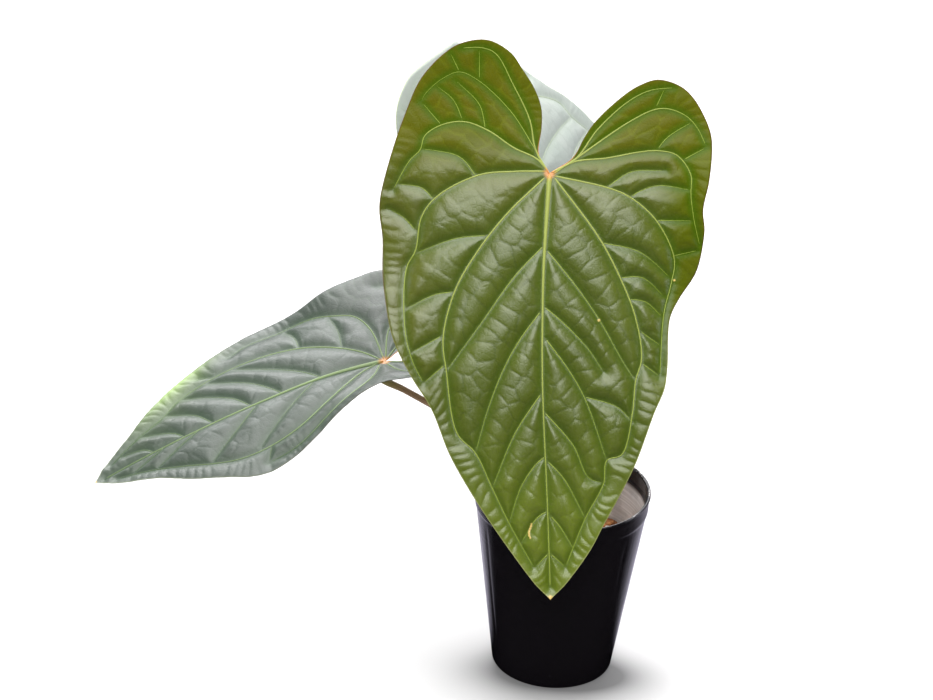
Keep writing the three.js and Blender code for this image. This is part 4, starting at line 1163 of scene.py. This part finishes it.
def blade_tissue(name, shades):
    """Living blade: cloudy two-tone green, warmer on the lobes and right margin, with a brown or pale line
    on the very edge, orange round the sinus, tan scars, and a paler, duller underside. Painted shade darkens
    the finest creases, where the lobes show light minor veins instead, and lays a darker, greener tone along
    the veins for their shaded valley flanks; painted light brightens the tip; a dark specular tint paints out
    the sheen on the lobes and right margin as shade; and a painted yellow-green backlight lies on the left
    blade's margin."""
    material, tree, shader = new_material(name, Specular_IOR_Level=0.75)
    plan = add_node(tree, "UVMap", uv_map="plan").outputs[0]
    u, v = parts_of(tree, plan)[:2]
    border = measure(tree, "border")
    under = measure(tree, "under")
    edge_gap = measure(tree, "edge_gap")
    colour = blended(tree, mottled(tree, plan, 3.2, 0.6), shades["deep"], shades["mid"])
    lobes = ramp(tree, v, 0.55, -0.45)
    far = worked_out(tree, "ABSOLUTE", u)
    lobes = worked_out(tree, "MAXIMUM", lobes, times(tree, ramp(tree, far, 0.55, 1.1), 0.6))
    patchy = times(tree, lobes, ramp(tree, mottled(tree, plan, 5.0, 0.5), 0.0, 1.0, 0.55, 1.0))
    colour = blended(tree, patchy, colour, shades["lobe"])
    # Painted shade: the finest creases are darkened; on the lobes a lighter colour stands for their pale
    # minor veins instead.
    crease = ramp(tree, border, 0.0, 2.0, 0.45, 0.0)
    colour = blended(tree, crease, colour, blended(tree, lobes, shades["crease"], shades["line"]))
    # Painted light: the blade is lighter towards the tip.
    colour = blended(tree, ramp(tree, v, 1.5, 2.6), colour, shades["tip"])
    # Painted shade on the sheen: the lobes and right margin get a dark specular tint, standing for the
    # reflection they lose by facing away from the light.
    painted_sheen_loss = worked_out(tree, "MAXIMUM", ramp(tree, v, 0.2, -0.3), ramp(tree, u, 0.6, 0.9))
    painted_sheen_loss = times(tree, painted_sheen_loss, shades["painted_sheen_loss"])
    # Painted shade: a darker, greener tone along the veins for the shaded flanks of their valleys, stronger
    # where the sheen is painted out.
    painted_vein_shade = ramp(tree, measure(tree, "vein_gap"), 5.5, 0.0)
    painted_vein_shade = times(tree, painted_vein_shade, ramp(tree, painted_sheen_loss, 0.0, 1.0, 0.5, 0.9))
    colour = blended(tree, painted_vein_shade, colour, shades["painted_vein_shade"])
    flecks = noise(tree, plan, 60, 3)
    colour = blended(tree, ramp(tree, flecks, 0.45, 0.75, 0.0, 0.35), colour, shades["fleck"])
    # Painted light: a yellow-green patch on the left blade's margin for light shining through it.
    colour = blended(tree, measure(tree, "painted_backlight"), colour, PAINTED_BACKLIGHT_GREEN)
    colour = blended(tree, times(tree, under, 0.85), colour, shades["under"])
    sinus = add_node(tree, "VectorMath", {0: plan}, operation="LENGTH").outputs["Value"]
    near_sinus = ramp(tree, sinus, 0.30, 0.10)
    brim = ramp(tree, edge_gap, 0.9, 0.2, 0.0, 0.85)
    edge_colour = blended(tree, ramp(tree, v, 0.6, 1.4), shades["rim"], shades["edge"])
    edge_colour = blended(tree, near_sinus, edge_colour, (0.50, 0.17, 0.02))
    colour = blended(tree, brim, colour, edge_colour)
    colour = blended(tree, ramp(tree, measure(tree, "scar"), 0.2, 0.8), colour, (0.50, 0.36, 0.10))
    colour = blended(tree, ramp(tree, sinus, 0.05, 0.015), colour, (0.46, 0.19, 0.05))
    tree.links.new(colour, shader.inputs["Base Color"])
    # Painted shade on the sheen: the dark specular tint on the lobes and right margin.
    tree.links.new(blended(tree, painted_sheen_loss, (1, 1, 1), (0.1, 0.1, 0.06)), shader.inputs["Specular Tint"])
    sheen_spots = ramp(tree, flecks, 0.3, 0.7, shades["rough"] - 0.05, shades["rough"] + 0.07)
    tree.links.new(ramp(tree, under, 0.0, 1.0, sheen_spots, 0.62), shader.inputs["Roughness"])
    net = add_node(tree, "TexVoronoi", {"Vector": plan, "Scale": 26}, feature="DISTANCE_TO_EDGE")
    grain = times(tree, noise(tree, plan, 150, 3), 1.6)
    fine = worked_out(tree, "ADD", ramp(tree, net.outputs["Distance"], 0.0, 0.16), grain)
    roughen(tree, shader, fine, 0.4, 0.0001)
    return material


def vein_tissue(name, thick, thin):
    """Pale cords: yellow-green where thick, nearer to the blade's green where thin, orange-tan at
    the sinus, with faint fibres."""
    material, tree, shader = new_material(name, Roughness=0.45, Specular_IOR_Level=0.35)
    plan = add_node(tree, "UVMap", uv_map="plan").outputs[0]
    size = measure(tree, "width")
    fibres = noise(tree, plan, 45, 3)
    share = worked_out(tree, "ADD", ramp(tree, size, 0.35, 1.5), times(tree, fibres, 0.25))
    colour = blended(tree, share, thin, thick)
    sinus = add_node(tree, "VectorMath", {0: plan}, operation="LENGTH").outputs["Value"]
    colour = blended(tree, ramp(tree, sinus, 0.06, 0.015), colour, (0.50, 0.22, 0.06))
    tree.links.new(colour, shader.inputs["Base Color"])
    roughen(tree, shader, fibres, 0.2, 0.0002)
    return material


# The colour of the painted backlight on the left blade's margin.
PAINTED_BACKLIGHT_GREEN = (0.24, 0.36, 0.10)
# In each set of shades, the crease colour is painted shade in the finest creases, the colour for the sides of
# the veins is painted shade on their valley flanks, the tip colour is painted light, and the last number is
# the share of sheen painted out as shade.
OLIVE = {
    "deep": (0.052, 0.074, 0.0003), "mid": (0.064, 0.088, 0.0006), "lobe": (0.078, 0.078, 0.0004),
    "tip": (0.096, 0.132, 0.001), "crease": (0.034, 0.056, 0.0003), "line": (0.115, 0.135, 0.004),
    "fleck": (0.080, 0.100, 0.003), "edge": (0.24, 0.26, 0.08), "rim": (0.09, 0.05, 0.01),
    "painted_vein_shade": (0.040, 0.084, 0.0001), "under": (0.09, 0.12, 0.05), "rough": 0.36, "painted_sheen_loss": 0.9}
GREY_GREEN = {
    "deep": (0.026, 0.040, 0.027), "mid": (0.040, 0.056, 0.042), "lobe": (0.040, 0.052, 0.042),
    "tip": (0.065, 0.085, 0.062), "crease": (0.014, 0.030, 0.014), "line": (0.05, 0.08, 0.045),
    "fleck": (0.05, 0.066, 0.05), "edge": (0.16, 0.19, 0.12), "rim": (0.05, 0.06, 0.04),
    "painted_vein_shade": (0.018, 0.052, 0.014), "under": (0.09, 0.12, 0.06), "rough": 0.48, "painted_sheen_loss": 0}
# The back blade's pale shades are painted light: its green is washed pale as by the grazing sheen it catches.
PALE_PAINTED_SHEEN = {
    "deep": (0.24, 0.28, 0.25), "mid": (0.28, 0.31, 0.285), "lobe": (0.27, 0.305, 0.27),
    "tip": (0.27, 0.31, 0.27), "crease": (0.23, 0.265, 0.23), "line": (0.28, 0.34, 0.26),
    "fleck": (0.30, 0.32, 0.30), "edge": (0.34, 0.38, 0.25), "rim": (0.30, 0.35, 0.22),
    "painted_vein_shade": (0.26, 0.31, 0.25), "under": (0.19, 0.22, 0.16), "rough": 0.6, "painted_sheen_loss": 0}
BLADES = {
    # slot, shades, thick veins, thin veins, seed
    "front": ("leaf_olive", OLIVE, (0.25, 0.29, 0.06), (0.18, 0.25, 0.015), 3),
    "left": ("leaf_grey_green", GREY_GREEN, (0.14, 0.20, 0.08), (0.05, 0.085, 0.035), 17),
    # The back blade's shades and vein colours are painted light, washed pale.
    "back": ("leaf_pale", PALE_PAINTED_SHEEN, (0.32, 0.38, 0.25), (0.28, 0.33, 0.24), 29),
}

for leaf_name, (slot_name, shades, thick_vein, thin_vein, seed) in BLADES.items():
    leaf = LEAVES[leaf_name]
    blade_points, blade_faces, blade_plan, blade_measures = blade_mesh(leaf, seed)
    cord_points, cord_faces, cord_plan, cord_widths = vein_cords(leaf, seed)
    blade = new_piece(f"blade_{leaf_name}", *joined([(blade_points, blade_faces), (cord_points, cord_faces)]),
                      blade_tissue(slot_name, shades),
                      vein_tissue(f"veins_{leaf_name}", thick_vein, thin_vein))
    finish_number = np.repeat([0, 1], [len(blade_faces), len(cord_faces)])
    blade.data.polygons.foreach_set("material_index", finish_number.astype(np.int32))
    for measure_name, values in blade_measures.items():
        add_measure(blade, measure_name, np.concatenate([values, np.zeros(len(cord_points))]))
    add_measure(blade, "width", np.concatenate([np.zeros(len(blade_points)), cord_widths]))
    add_uv(blade, "plan", np.concatenate([blade_plan, cord_plan]) / 100)
    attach(blade, "root")
    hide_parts(f"leaf_{leaf_name}")
